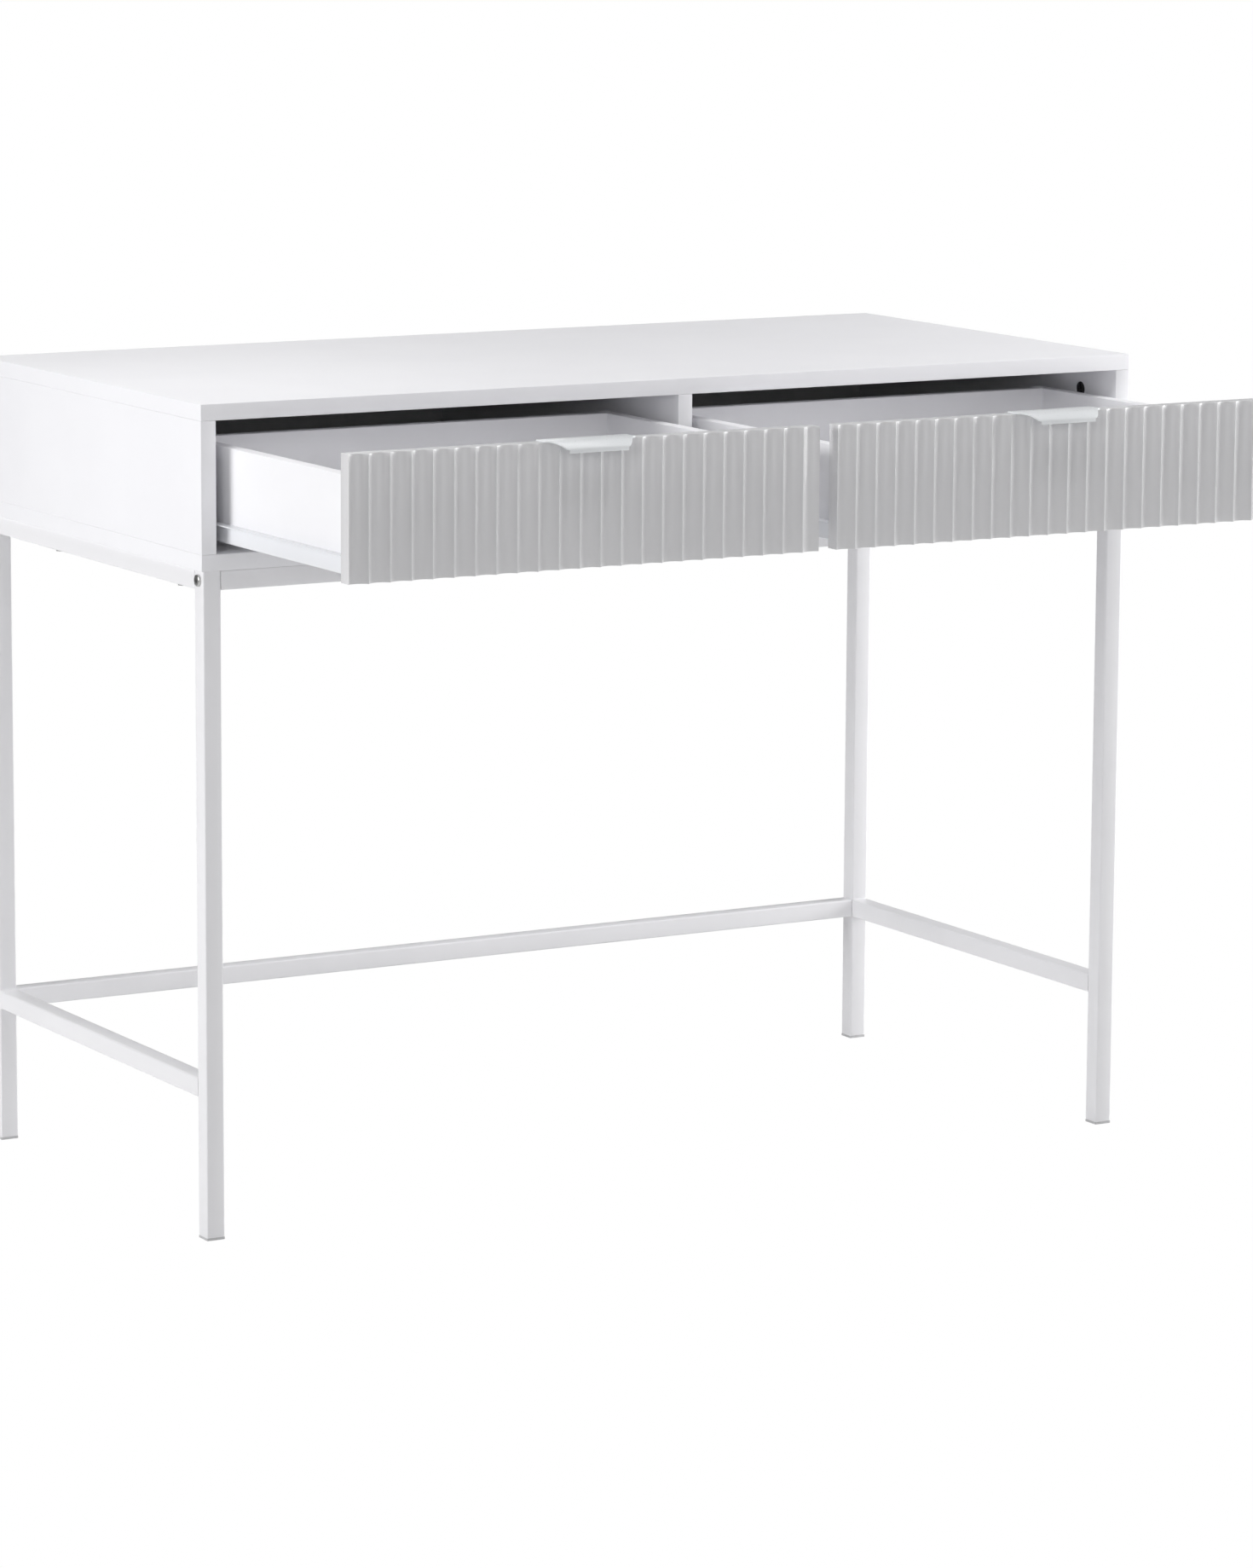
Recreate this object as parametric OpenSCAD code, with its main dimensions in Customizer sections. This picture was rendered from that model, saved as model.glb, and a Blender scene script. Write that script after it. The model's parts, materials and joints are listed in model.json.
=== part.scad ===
// Writing desk with two drawers, drawn open as it stands: board carcass on a bolted square-tube frame.
// X runs along the desk, the drawers open towards -Y, Z is up and the floor is Z = 0.
// The origin is on the floor, under the middle of the box that holds the desk with its drawers open.

/* [Desk] */
// Overall width of the desk top
desk_w = 1000; // [800:10:1300]
// Overall depth of the desk top
desk_d = 480; // [400:10:600]
// Height of the desk top's upper face above the floor
desk_h = 765; // [700:5:920]
// Clear height of the two drawer bays
bay_h = 120; // [100:5:160]
// Thickness of the top, bottom, side and divider boards
board_t = 15; // [12:0.5:19]
// Thickness of the back panel
back_t = 3; // [2.5:0.5:5]
// Distance from the rear edge of the boards to the back panel
back_inset = 12; // [8:1:20]
// Depth of the grooves that hold the back panel and the drawer bottoms
groove_depth = 4; // [3:0.5:5]
// Gap between a panel and each wall of its groove
groove_gap = 0.2; // [0.1:0.05:0.4]

/* [Frame] */
// Width of the square steel tube
tube_w = 18; // [15:1:22]
// Wall of the square steel tube
tube_wall = 1.2; // [1:0.1:1.6]
// Distance that the frame stands in from the edges of the boards
frame_inset = 2.5; // [2.5:0.5:10]
// Height of the stretchers' underside above the floor
stretcher_z = 131; // [80:5:200]
// Thickness of the glide pads under the legs
glide_h = 2.5; // [2:0.5:5]
// Height of the glide's plug inside the leg
glide_plug_h = 12; // [8:1:20]
// Length of the threaded plug welded into each rail end
end_plug_len = 12; // [8:1:20]

/* [Fasteners] */
// Diameter of the frame bolts
bolt_d = 6; // [5:1:8]
// Diameter of the frame bolts' flat heads
bolt_head_d = 11; // [9.5:0.5:14]
// Thickness of the frame bolts' heads
bolt_head_h = 2.5; // [2:0.1:2.5]
// Width across the flats of the hexagon socket
hex_socket_w = 4; // [3:0.5:5]
// Radial gap between a bolt and a hole it passes through
bolt_gap = 0.25; // [0.1:0.05:0.5]
// Radial gap drawn between a thread and its hole
thread_gap = 0.05; // [0.02:0.01:0.1]
// Diameter of the screws that hold the carcass to the frame
frame_screw_d = 4; // [3:0.5:5]
// Head diameter of the frame screws
frame_screw_head_d = 8; // [7:0.5:10]
// Head height of the frame screws
frame_screw_head_h = 2.2; // [1.5:0.1:3]
// Distance from the panel screws out to the frame screws beside them
frame_screw_setback = 60; // [40:5:90]
// Diameter of the cam locks
cam_d = 15; // [12:0.5:15]
// Diameter of the cam bolts
cam_bolt_d = 6; // [5:0.5:7]
// Radial gap between a cam lock or cam bolt and its bore
cam_gap = 0.2; // [0.1:0.05:0.4]
// Distance from a board's end to its cam lock's centre
cam_edge = 24; // [20:1:34]
// Distance from the front and rear edges to the carcass cam locks
cam_setback = 61; // [50:1:80]
// Diameter of the one-piece screws up into the side boards and the divider
panel_screw_d = 5; // [4:0.5:6]
// Length of the one-piece screws
panel_screw_len = 50; // [40:1:60]
// Head diameter of the one-piece screws
panel_screw_head_d = 10; // [8:0.5:11]
// Head height of the one-piece screws
panel_screw_head_h = 3; // [2:0.5:4]
// Diameter of the runner and handle screws
small_screw_d = 3.5; // [3:0.5:4]
// Depth of the runner screws in the boards
runner_screw_grip = 5.5; // [4:0.5:5.5]

/* [Drawers] */
// Distance that both drawers stand open
drawer_open = 255; // [0:5:260]
// Thickness of the drawer fronts over the ridges
front_t = 17; // [16:0.5:22]
// Gap on each side of a drawer front
front_side_gap = 2; // [1:0.5:4]
// Gap below a drawer front
front_low_gap = 3.5; // [2:0.5:5]
// Gap above a drawer front
front_top_gap = 4; // [3:0.5:6]
// Distance from one flute to the next
flute_pitch = 20.8; // [16:0.1:25]
// Radius of the hollow flutes
flute_r = 13; // [12.6:0.1:20]
// Width of the ridge left between two flutes
flute_ridge_w = 0.6; // [0.4:0.1:3]
// Length of the drawer side boards
box_len = 350; // [320:5:400]
// Height of the drawer side and back boards
box_h = 84; // [64:1:100]
// Thickness of the drawer side and back boards
box_t = 12; // [10:0.5:15]
// Distance from the top of a front down to the top of its side boards
box_drop = 21; // [12:1:30]
// Distance from the side boards' rear ends to the back board
box_back_inset = 10; // [5:1:20]
// Thickness of the drawer bottoms
bottom_t = 3; // [2.5:0.5:5]
// Height of the drawer bottoms above the side boards' lower edges
bottom_lift = 10; // [8:1:15]

/* [Handles] */
// Thickness of the bent steel sheet
sheet_t = 1.5; // [1:0.1:2]
// Width of the handle where it leaves the front
tab_root_w = 90; // [80:1:160]
// Width of the handle at its lip
tab_lip_w = 59; // [45:1:79]
// Distance that the handle stands out from the front
tab_reach = 16; // [12:1:35]
// Height that the handle's curve drops
tab_drop = 6.5; // [4:0.5:14]
// Height of the turned-down lip
tab_lip_h = 3.5; // [1:0.5:5]
// Height of the handle's flange behind the front
tab_flange_h = 22; // [16:1:30]
// Distance between the two handle screws
tab_screw_pitch = 64; // [48:1:72]
// Depth of the handle screws in the front
tab_screw_grip = 9; // [6:0.5:10]

/* [Runners] */
// Thickness of the runner steel
runner_t = 1.2; // [1:0.1:1.4]
// Length of the cabinet and drawer runners
runner_len = 350; // [300:5:350]
// Space between the drawer side and the bay wall
runner_space = 12.5; // [12.5:0.5:14]
// Height of the drawer runner's web
runner_web_h = 16.6; // [15:0.1:22]
// Width of the drawer runner's outward flange, web included
runner_flange_w = 9; // [8:0.1:9]
// Width of the ledge under the drawer side board
runner_ledge_w = 10; // [8:0.5:12]
// Distance from the carcass front to the cabinet runners when closed
runner_setback = 20; // [17:1:30]
// Height of the lip along the cabinet runner's lower edge
runner_lip_h = 3; // [2:0.5:3.5]
// Diameter of the rollers
roller_d = 13; // [10.5:0.5:16]
// Width of the rollers
roller_w = 5; // [4:0.5:5]
// Diameter of the rivets that the rollers turn on
rivet_d = 4; // [3:0.5:5]
// Radial gap between a rivet and its roller
rivet_gap = 0.05; // [0.02:0.01:0.1]
// Height of the front rollers above the channel's middle
roller_rise = 2; // [1:0.5:2]
// Gap between a roller and the steel it runs on
roller_gap = 0.2; // [0.1:0.05:0.3]
// Distance from a runner's end to its roller's centre
roller_setback = 10; // [9:0.5:14]
// Height of the stop bumps in the cabinet runner
stop_r = 2; // [1.5:0.1:2.5]
// Drawer travel from shut to the stop
drawer_travel = 290; // [200:5:300]
// Distance from a runner's ends to its outer screws
runner_screw_edge = 32; // [28:1:60]

/* [Hidden] */
$fn = 64;
overcut = 1;
// Board left beyond the tip of a screw
screw_tip_wall = 2;
// Board left behind a carcass cam lock
cam_back_wall = 2.5;
// Board left above a carcass cam bolt
cam_bolt_tip_wall = 4;
// Board left behind a drawer cam lock
box_cam_back_wall = 1.5;
// Depth of the cross recess in the cam locks
cam_recess_depth = 2;
// Depth of the cross recess in the frame screws
frame_recess_depth = 1.5;
// Thickness of the rivet head beside a roller
roller_head_t = 0.6;
// Space between a cabinet runner's screw heads and the rivet heads that pass them
screw_head_play = 0.6;
// Space between a roller and the lip beside it
lip_play = 0.5;
// Rim of a rivet's shoulder and head round its shank
rivet_rim = 0.8;
// Distance from the front roller back to the closed part of the channel
channel_nose = 2;

// Boards and bays
front_y = (drawer_open + tab_reach - desk_d) / 2;
rear_y = front_y + desk_d;
side_x = desk_w / 2;
bay_z1 = desk_h - board_t;
bay_z0 = bay_z1 - bay_h;
under_z = bay_z0 - board_t;
bay_w = (desk_w - 3 * board_t) / 2;
bay_x = (board_t + bay_w) / 2;
back_y = rear_y - back_inset - back_t;

// Frame
leg_x = side_x - frame_inset;
leg_front_y = front_y + frame_inset;
leg_rear_y = rear_y - frame_inset;
rail_z = under_z - tube_w / 2;
low_z = stretcher_z + tube_w / 2;
bolt_len = tube_w + end_plug_len;

// Fastener sites
frame_screw_grip = board_t - groove_depth - screw_tip_wall;
cam_depth = board_t - cam_back_wall;
cam_bolt_grip = board_t - cam_bolt_tip_wall;
cam_ys = [front_y + cam_setback, rear_y - cam_setback];
cam_z = bay_z1 - cam_edge;
small_head_d = 2 * small_screw_d - 1;
runner_head_h = 0.9;
tab_head_h = 2;

// Drawer fronts and boxes, each in its own frame: X from the bay's middle, Y back from the front's face
front_w = bay_w - 2 * front_side_gap;
front_z0 = bay_z0 + front_low_gap;
front_z1 = bay_z1 - front_top_gap;
flute_n = ceil(front_w / flute_pitch);
flute_half = (flute_pitch - flute_ridge_w) / 2;
flute_drop = sqrt(flute_r * flute_r - flute_half * flute_half);
box_w = bay_w - 2 * runner_space;
box_z1 = front_z1 - box_drop;
box_z0 = box_z1 - box_h;
box_back_y = front_t + box_len - box_back_inset - box_t;
drawer_bottom_z = box_z0 + bottom_lift;
box_cam_depth = box_t - box_cam_back_wall;
box_cam_y = front_t + cam_edge;
box_cam_z = box_z0 + box_h / 2;
box_cam_grip = front_t - (flute_r - flute_drop) - screw_tip_wall;

// Handle: one arc that turns by tab_turn and reaches tab_reach while it drops tab_drop
tab_turn = 2 * atan(tab_drop / tab_reach);
tab_r = tab_reach / sin(tab_turn);
tab_z = front_z1 + sheet_t;
tab_screw_z = front_z1 - tab_flange_h / 2;

// Runners, measured out from the bay wall
roller_u = runner_t + runner_head_h + screw_head_play + roller_head_t;
roller_u1 = roller_u + roller_w;
rivet_end = roller_gap + roller_head_t;
channel_w = roller_u1 + lip_play + runner_t;
channel_half = roller_d / 2 + roller_gap;
front_roller_y = runner_setback + roller_setback;
rear_roller_y = front_t + runner_len - roller_setback;
web_z1 = box_z0 - runner_t + runner_web_h;
channel_z = web_z1 - runner_t - roller_gap - roller_d / 2 - roller_rise;
channel_open_y = front_roller_y + roller_d / 2 + channel_nose;
stop_reach = sqrt(pow(roller_d / 2 + stop_r, 2) - channel_half * channel_half) + roller_gap;
runner_screw_ys = [runner_screw_edge, runner_len / 2, runner_len - runner_screw_edge];
runner_screw_mids = [for (i = [0, 1]) (runner_screw_ys[i] + runner_screw_ys[i + 1]) / 2];
panel_screw_ys = [for (y = runner_screw_mids) front_y + runner_setback + y];
box_screw_z = channel_z + roller_d / 4;

// ---- Shared shapes ----

// Box between two opposite corners
module block(low, high) {
    translate(low) cube(high - low);
}

// Round bar along X, Y or Z between two coordinates on its axis
module bar_x(x0, x1, d) {
    translate([x0, 0, 0]) rotate([0, 90, 0]) cylinder(h = x1 - x0, d = d);
}

module bar_y(y0, y1, d) {
    translate([0, y1, 0]) rotate([90, 0, 0]) cylinder(h = y1 - y0, d = d);
}

module bar_z(z0, z1, d) {
    translate([0, 0, z0]) cylinder(h = z1 - z0, d = d);
}

// Extrudes an X-Z outline along Y
module along_y(y0, y1) {
    translate([0, y1, 0]) rotate([90, 0, 0]) linear_extrude(height = y1 - y0) children();
}

// Places children in a drawer's own frame; side is -1 for the left drawer and 1 for the right
module in_drawer(side) {
    translate([side * bay_x, front_y - drawer_open, 0]) children();
}

// Measures X as the distance from a wall, towards the middle, for a bay of width w
module from_wall(w, wall) {
    translate([wall * w / 2, 0, 0]) mirror([wall > 0 ? 1 : 0, 0, 0]) children();
}

// Places children on a bay's wall, with Y from the carcass front
module on_bay_wall(side, wall) {
    translate([side * bay_x, front_y, 0]) from_wall(bay_w, wall) children();
}

// Places children on a drawer's side, with Y from the front's face
module on_drawer_side(side, wall) {
    in_drawer(side) from_wall(bay_w, wall) children();
}

// Wood screw along +Z with its head below Z = 0
module screw(d, grip, head_d, head_h) {
    bar_z(-head_h, grip, d);
    bar_z(-head_h, 0, head_d);
}

// Cross-shaped drive recess, cut down from Z = 0 along +Z
module cross_recess(span, depth) {
    for (turn = [0, 90]) {
        rotate([0, 0, turn]) translate([-span / 2, -span / 8, -overcut]) cube([span, span / 4, depth + overcut]);
    }
}

// ---- Carcass ----

// Space cut for the back panel, as deep as its grooves in all four boards
module back_groove() {
    block(
        [-side_x + board_t - groove_depth, back_y - groove_gap, bay_z0 - groove_depth],
        [side_x - board_t + groove_depth, back_y + back_t + groove_gap, bay_z1 + groove_depth]
    );
}

// Each carcass cam lock as [X of the board face it is bored from, direction into the board]
function cam_faces() = [[-side_x + board_t, -1], [board_t / 2, -1], [side_x - board_t, 1]];

// Runs along every carcass cam lock, with the origin on the board face at the lock's centre
module at_cam_locks() {
    for (site = cam_faces(), y = cam_ys) {
        translate([site[0], y, cam_z]) mirror([site[1] < 0 ? 1 : 0, 0, 0]) children();
    }
}

// Runs along every cam bolt, with the origin on its axis at the lock's centre
module at_cam_bolts() {
    for (site = cam_faces(), y = cam_ys) {
        translate([site[0] + site[1] * board_t / 2, y, cam_z]) children();
    }
}

// Runs along the panel screws' axes, at the bottom board's underside, each row halfway between runner screws
module at_panel_screws() {
    for (x = [-side_x + board_t / 2, 0, side_x - board_t / 2], y = panel_screw_ys) {
        translate([x, y, under_z]) children();
    }
}

// Bores for the cam locks and for the cam bolts' shanks
module cam_bores() {
    at_cam_locks() bar_x(-overcut, cam_depth, cam_d);
    at_cam_bolts() bar_z(0, cam_edge + overcut, cam_bolt_d + 2 * cam_gap);
}

module panel_screw_holes() {
    at_panel_screws() {
        bar_z(-overcut, panel_screw_len + thread_gap, panel_screw_d + 2 * thread_gap);
        bar_z(-overcut, panel_screw_head_h, panel_screw_head_d + 2 * thread_gap);
    }
}

// Runs along every cabinet runner screw; +X points into the board and X = 0 is the board's face
module at_bay_runner_screws() {
    for (side = [-1, 1], wall = [-1, 1], y = runner_screw_ys) {
        on_bay_wall(side, wall) translate([0, runner_setback + y, channel_z]) mirror([1, 0, 0]) children();
    }
}

module bay_runner_screw_holes() {
    at_bay_runner_screws() bar_x(-overcut, runner_screw_grip + thread_gap, small_screw_d + 2 * thread_gap);
}

module frame_screw_sites() {
    for (x = [-leg_x + tube_w / 2, leg_x - tube_w / 2]) {
        for (y = [panel_screw_ys[0] - frame_screw_setback, panel_screw_ys[1] + frame_screw_setback]) {
            translate([x, y, under_z]) children();
        }
    }
    for (x = [-side_x / 2, side_x / 2], y = [leg_front_y + tube_w / 2, leg_rear_y - tube_w / 2]) {
        translate([x, y, under_z]) children();
    }
}

module top_panel() {
    color("whitesmoke") difference() {
        block([-side_x, front_y, bay_z1], [side_x, rear_y, desk_h]);
        back_groove();
        at_cam_bolts() bar_z(0, cam_edge + cam_bolt_grip + thread_gap, cam_bolt_d + 2 * thread_gap);
    }
}

module side_panel(side) {
    inner_x = side * (side_x - board_t);
    color("whitesmoke") difference() {
        block(
            [min(inner_x, side * side_x), front_y, bay_z0],
            [max(inner_x, side * side_x), rear_y, bay_z1]
        );
        back_groove();
        cam_bores();
        panel_screw_holes();
        bay_runner_screw_holes();
    }
}

module centre_divider() {
    color("whitesmoke") difference() {
        block([-board_t / 2, front_y, bay_z0], [board_t / 2, back_y - groove_gap, bay_z1]);
        cam_bores();
        panel_screw_holes();
        bay_runner_screw_holes();
    }
}

module bottom_panel() {
    color("whitesmoke") difference() {
        block([-side_x, front_y, under_z], [side_x, rear_y, bay_z0]);
        back_groove();
        panel_screw_holes();
        frame_screw_sites() bar_z(-overcut, frame_screw_grip + thread_gap, frame_screw_d + 2 * thread_gap);
    }
}

module back_panel() {
    tongue = groove_depth - groove_gap;
    color("dimgray") block(
        [-side_x + board_t - tongue, back_y, bay_z0 - tongue],
        [side_x - board_t + tongue, back_y + back_t, bay_z1 + tongue]
    );
}

module cam_lock(depth, bolt_depth, d) {
    difference() {
        bar_x(0, depth - cam_gap, d - 2 * cam_gap);
        rotate([0, 90, 0]) cross_recess(d / 2, cam_recess_depth);
        translate([bolt_depth, 0, 0]) bar_z(-overcut, d, cam_bolt_d + 2 * cam_gap);
    }
}

module cam_locks() {
    color("dimgray") at_cam_locks() cam_lock(cam_depth, board_t / 2, cam_d);
}

module cam_bolts() {
    color("silver") at_cam_bolts() bar_z(0, cam_edge + cam_bolt_grip, cam_bolt_d);
}

module panel_screws() {
    color("silver") at_panel_screws() difference() {
        union() {
            bar_z(0, panel_screw_len, panel_screw_d);
            bar_z(0, panel_screw_head_h, panel_screw_head_d);
        }
        cross_recess(panel_screw_head_d / 2, panel_screw_head_h / 2);
    }
}

// ---- Tube frame ----

// Square tube between two opposite corners, open at both ends; axis is 0, 1 or 2 for X, Y or Z
module tube(low, high, axis) {
    through = [for (i = [0:2]) i == axis ? -overcut : tube_wall];
    difference() {
        block(low, high);
        block(low + through, high - through);
    }
}

// Runs along every frame bolt, with X = 0 on the leg's outer face and +X towards the middle of the desk
module at_frame_bolts() {
    front = leg_front_y + tube_w / 2;
    rear = leg_rear_y - tube_w / 2;
    for (side = [-1, 1], site = [[front, rail_z], [rear, rail_z], [rear, low_z]]) {
        translate([side * leg_x, site[0], site[1]]) mirror([side > 0 ? 1 : 0, 0, 0]) children();
    }
}

module leg(side, end) {
    outer_x = side * leg_x;
    inner_x = side * (leg_x - tube_w);
    y0 = end < 0 ? leg_front_y : leg_rear_y - tube_w;
    color("white") difference() {
        tube([min(outer_x, inner_x), y0, glide_h], [max(outer_x, inner_x), y0 + tube_w, under_z], 2);
        at_frame_bolts() bar_x(-overcut, tube_w + overcut, bolt_d + 2 * bolt_gap);
    }
}

// Welded tube from the front leg to the rear leg, with its underside at z
module side_tube(side, z) {
    outer_x = side * leg_x;
    inner_x = side * (leg_x - tube_w);
    color("white") difference() {
        tube(
            [min(outer_x, inner_x), leg_front_y + tube_w, z],
            [max(outer_x, inner_x), leg_rear_y - tube_w, z + tube_w],
            1
        );
        frame_screw_sites() bar_z(-tube_w - overcut, overcut, frame_screw_d + 2 * bolt_gap);
    }
}

// Bolted tube from the left leg to the right leg, with a threaded plug welded into each end
module cross_tube(y, z) {
    end_x = leg_x - tube_w;
    color("white") difference() {
        union() {
            tube([-end_x, y, z], [end_x, y + tube_w, z + tube_w], 0);
            for (x = [-end_x, end_x - end_plug_len]) {
                block([x, y, z], [x + end_plug_len, y + tube_w, z + tube_w]);
            }
        }
        at_frame_bolts() bar_x(0, bolt_len + overcut, bolt_d + 2 * thread_gap);
        frame_screw_sites() bar_z(-tube_w - overcut, overcut, frame_screw_d + 2 * bolt_gap);
    }
}

module frame_bolts() {
    color("silver") at_frame_bolts() difference() {
        union() {
            bar_x(-bolt_head_h, 0, bolt_head_d);
            bar_x(-bolt_head_h, bolt_len, bolt_d);
        }
        translate([-bolt_head_h - overcut, 0, 0]) rotate([0, 90, 0])
            cylinder(h = bolt_head_h + overcut, d = hex_socket_w / cos(30), $fn = 6);
    }
}

module frame_screws() {
    color("silver") frame_screw_sites() difference() {
        translate([0, 0, -tube_w])
            screw(frame_screw_d, tube_w + frame_screw_grip, frame_screw_head_d, frame_screw_head_h);
        translate([0, 0, -tube_w - frame_screw_head_h]) cross_recess(frame_screw_head_d / 2, frame_recess_depth);
    }
}

module glides() {
    plug_w = tube_w - 2 * tube_wall - 2 * groove_gap;
    for (side = [-1, 1], y = [leg_front_y + tube_w / 2, leg_rear_y - tube_w / 2]) {
        color("lightgray") translate([side * (leg_x - tube_w / 2), y, 0]) {
            block([-tube_w / 2, -tube_w / 2, 0], [tube_w / 2, tube_w / 2, glide_h]);
            block([-plug_w / 2, -plug_w / 2, 0], [plug_w / 2, plug_w / 2, glide_h + glide_plug_h]);
        }
    }
}

// ---- Runners and rollers ----

module roller() {
    difference() {
        bar_x(roller_u, roller_u1, roller_d);
        bar_x(roller_u - overcut, roller_u1 + overcut, rivet_d + 2 * rivet_gap);
    }
}

// Rivet from the steel at x0 through a roller to its head at x1, with a shoulder up to the roller
module rivet(x0, shoulder_x, head_x, x1) {
    shoulder_d = rivet_d + 2 * rivet_rim;
    bar_x(min(x0, x1), max(x0, x1), rivet_d);
    bar_x(min(x0, shoulder_x), max(x0, shoulder_x), shoulder_d);
    bar_x(min(head_x, x1), max(head_x, x1), shoulder_d);
}

// Cabinet runner: a channel that the drawer's rear roller runs in, with a roller riveted in front of it
module bay_runner(side, wall) {
    y0 = runner_setback;
    y1 = runner_setback + runner_len;
    z0 = channel_z - channel_half;
    z1 = channel_z + channel_half;
    color("white") on_bay_wall(side, wall) difference() {
        union() {
            block([0, y0, z0 - runner_t], [runner_t, y1, z1 + runner_t]);
            block([0, y0, z0 - runner_t], [channel_w, y1, z0]);
            block([channel_w - runner_t, channel_open_y, z0 - runner_t], [channel_w, y1, z0 + runner_lip_h]);
            block([0, channel_open_y, z1], [roller_u1, y1, z1 + runner_t]);
            translate([0, front_roller_y, channel_z + roller_rise])
                rivet(runner_t / 2, roller_u - roller_gap, roller_u1 + roller_gap, roller_u1 + rivet_end);
            stops(z0);
        }
        for (y = runner_screw_ys) {
            translate([0, y0 + y, channel_z]) bar_x(-overcut, runner_t + overcut, small_screw_d + 2 * bolt_gap);
        }
    }
}

// Two half-round bumps on the channel's floor, one at each end of the rear roller's run
module stops(floor_z) {
    shut_y = rear_roller_y + stop_reach;
    out_y = rear_roller_y - drawer_travel - stop_reach;
    intersection() {
        for (y = [shut_y, out_y]) {
            translate([0, y, floor_z]) bar_x(runner_t / 2, channel_w - runner_t / 2, 2 * stop_r);
        }
        block([0, 0, floor_z - runner_t / 2], [channel_w, runner_setback + runner_len, floor_z + stop_r]);
    }
}

module bay_roller(side, wall) {
    color("gainsboro") on_bay_wall(side, wall) translate([0, front_roller_y, channel_z + roller_rise]) roller();
}

module bay_runner_screws() {
    color("silver") at_bay_runner_screws() {
        translate([-runner_t, 0, 0]) rotate([0, 90, 0])
            screw(small_screw_d, runner_t + runner_screw_grip, small_head_d, runner_head_h);
    }
}

// Drawer runner: a web on the side board, a ledge under the board and a flange over the front roller
module drawer_runner(side, wall) {
    y0 = front_t;
    y1 = front_t + runner_len;
    web_u = runner_space - runner_t;
    color("white") on_drawer_side(side, wall) difference() {
        union() {
            block([web_u, y0, box_z0 - runner_t], [runner_space, y1, web_z1]);
            block([web_u, y0, box_z0 - runner_t], [runner_space + runner_ledge_w, y1, box_z0]);
            block([runner_space - runner_flange_w, y0, web_z1 - runner_t], [runner_space, y1, web_z1]);
            translate([0, rear_roller_y, channel_z])
                rivet(
                    web_u + runner_t / 2,
                    roller_u1 + roller_gap,
                    roller_u - roller_gap,
                    roller_u - rivet_end
                );
        }
        for (y = runner_screw_ys) {
            translate([0, y0 + y, box_screw_z])
                bar_x(web_u - overcut, runner_space + overcut, small_screw_d + 2 * bolt_gap);
        }
    }
}

module drawer_roller(side, wall) {
    color("gainsboro") on_drawer_side(side, wall) translate([0, rear_roller_y, channel_z]) roller();
}

module drawer_runner_screws(side) {
    web_u = runner_space - runner_t;
    color("silver") for (wall = [-1, 1], y = runner_screw_ys) {
        on_drawer_side(side, wall) translate([web_u, front_t + y, box_screw_z]) rotate([0, 90, 0])
            screw(small_screw_d, runner_t + runner_screw_grip, small_head_d, runner_head_h);
    }
}

// ---- Drawers ----

// Space cut for a drawer bottom, as deep as its grooves in all four boards
module drawer_bottom_groove() {
    half = box_w / 2 - box_t + groove_depth;
    block(
        [-half, front_t - groove_depth, drawer_bottom_z - groove_gap],
        [half, box_back_y + groove_depth, drawer_bottom_z + bottom_t + groove_gap]
    );
}

// Runs along a drawer's two cam locks, with the origin on the side board's inner face
module at_box_cams() {
    for (wall = [-1, 1]) {
        translate([wall * (box_w / 2 - box_t), box_cam_y, box_cam_z])
            mirror([wall < 0 ? 1 : 0, 0, 0]) rotate([90, 0, 0]) children();
    }
}

// Hollow flutes up the whole height of the front, spaced out from its middle
module flutes() {
    for (i = [0:flute_n - 1]) {
        translate([(i - (flute_n - 1) / 2) * flute_pitch, -flute_drop, 0])
            bar_z(front_z0 - overcut, front_z1 + overcut, 2 * flute_r);
    }
}

module drawer_front(side) {
    color("white") in_drawer(side) difference() {
        block([-front_w / 2, 0, front_z0], [front_w / 2, front_t, front_z1]);
        flutes();
        drawer_bottom_groove();
        at_box_cams() translate([box_t / 2, 0, 0])
            bar_z(0, cam_edge + box_cam_grip + thread_gap, cam_bolt_d + 2 * thread_gap);
        at_tab_screws() bar_y(-tab_screw_grip - thread_gap, overcut, small_screw_d + 2 * thread_gap);
    }
}

module drawer_side(side, wall) {
    outer_x = wall * box_w / 2;
    inner_x = wall * (box_w / 2 - box_t);
    color("white") difference() {
        in_drawer(side) difference() {
            block([min(outer_x, inner_x), front_t, box_z0], [max(outer_x, inner_x), front_t + box_len, box_z1]);
            drawer_bottom_groove();
            drawer_back_slot();
            at_box_cams() {
                bar_x(-overcut, box_cam_depth, cam_d);
                translate([box_t / 2, 0, 0]) bar_z(0, cam_edge + overcut, cam_bolt_d + 2 * cam_gap);
            }
        }
        for (end = [-1, 1], y = runner_screw_ys) {
            on_drawer_side(side, end) translate([0, front_t + y, box_screw_z]) bar_x(
                runner_space - overcut,
                runner_space + runner_screw_grip + thread_gap,
                small_screw_d + 2 * thread_gap
            );
        }
    }
}

// Slots across both side boards that the back board's ends are glued into
module drawer_back_slot() {
    half = box_w / 2 - box_t + groove_depth;
    block([-half, box_back_y, box_z0 - overcut], [half, box_back_y + box_t, box_z1 + overcut]);
}

module drawer_back(side) {
    half = box_w / 2 - box_t + groove_depth;
    color("white") in_drawer(side) difference() {
        block([-half, box_back_y, box_z0], [half, box_back_y + box_t, box_z1]);
        drawer_bottom_groove();
    }
}

module drawer_bottom(side) {
    tongue = groove_depth - groove_gap;
    half = box_w / 2 - box_t + tongue;
    color("white") in_drawer(side) block(
        [-half, front_t - tongue, drawer_bottom_z],
        [half, box_back_y + tongue, drawer_bottom_z + bottom_t]
    );
}

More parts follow.
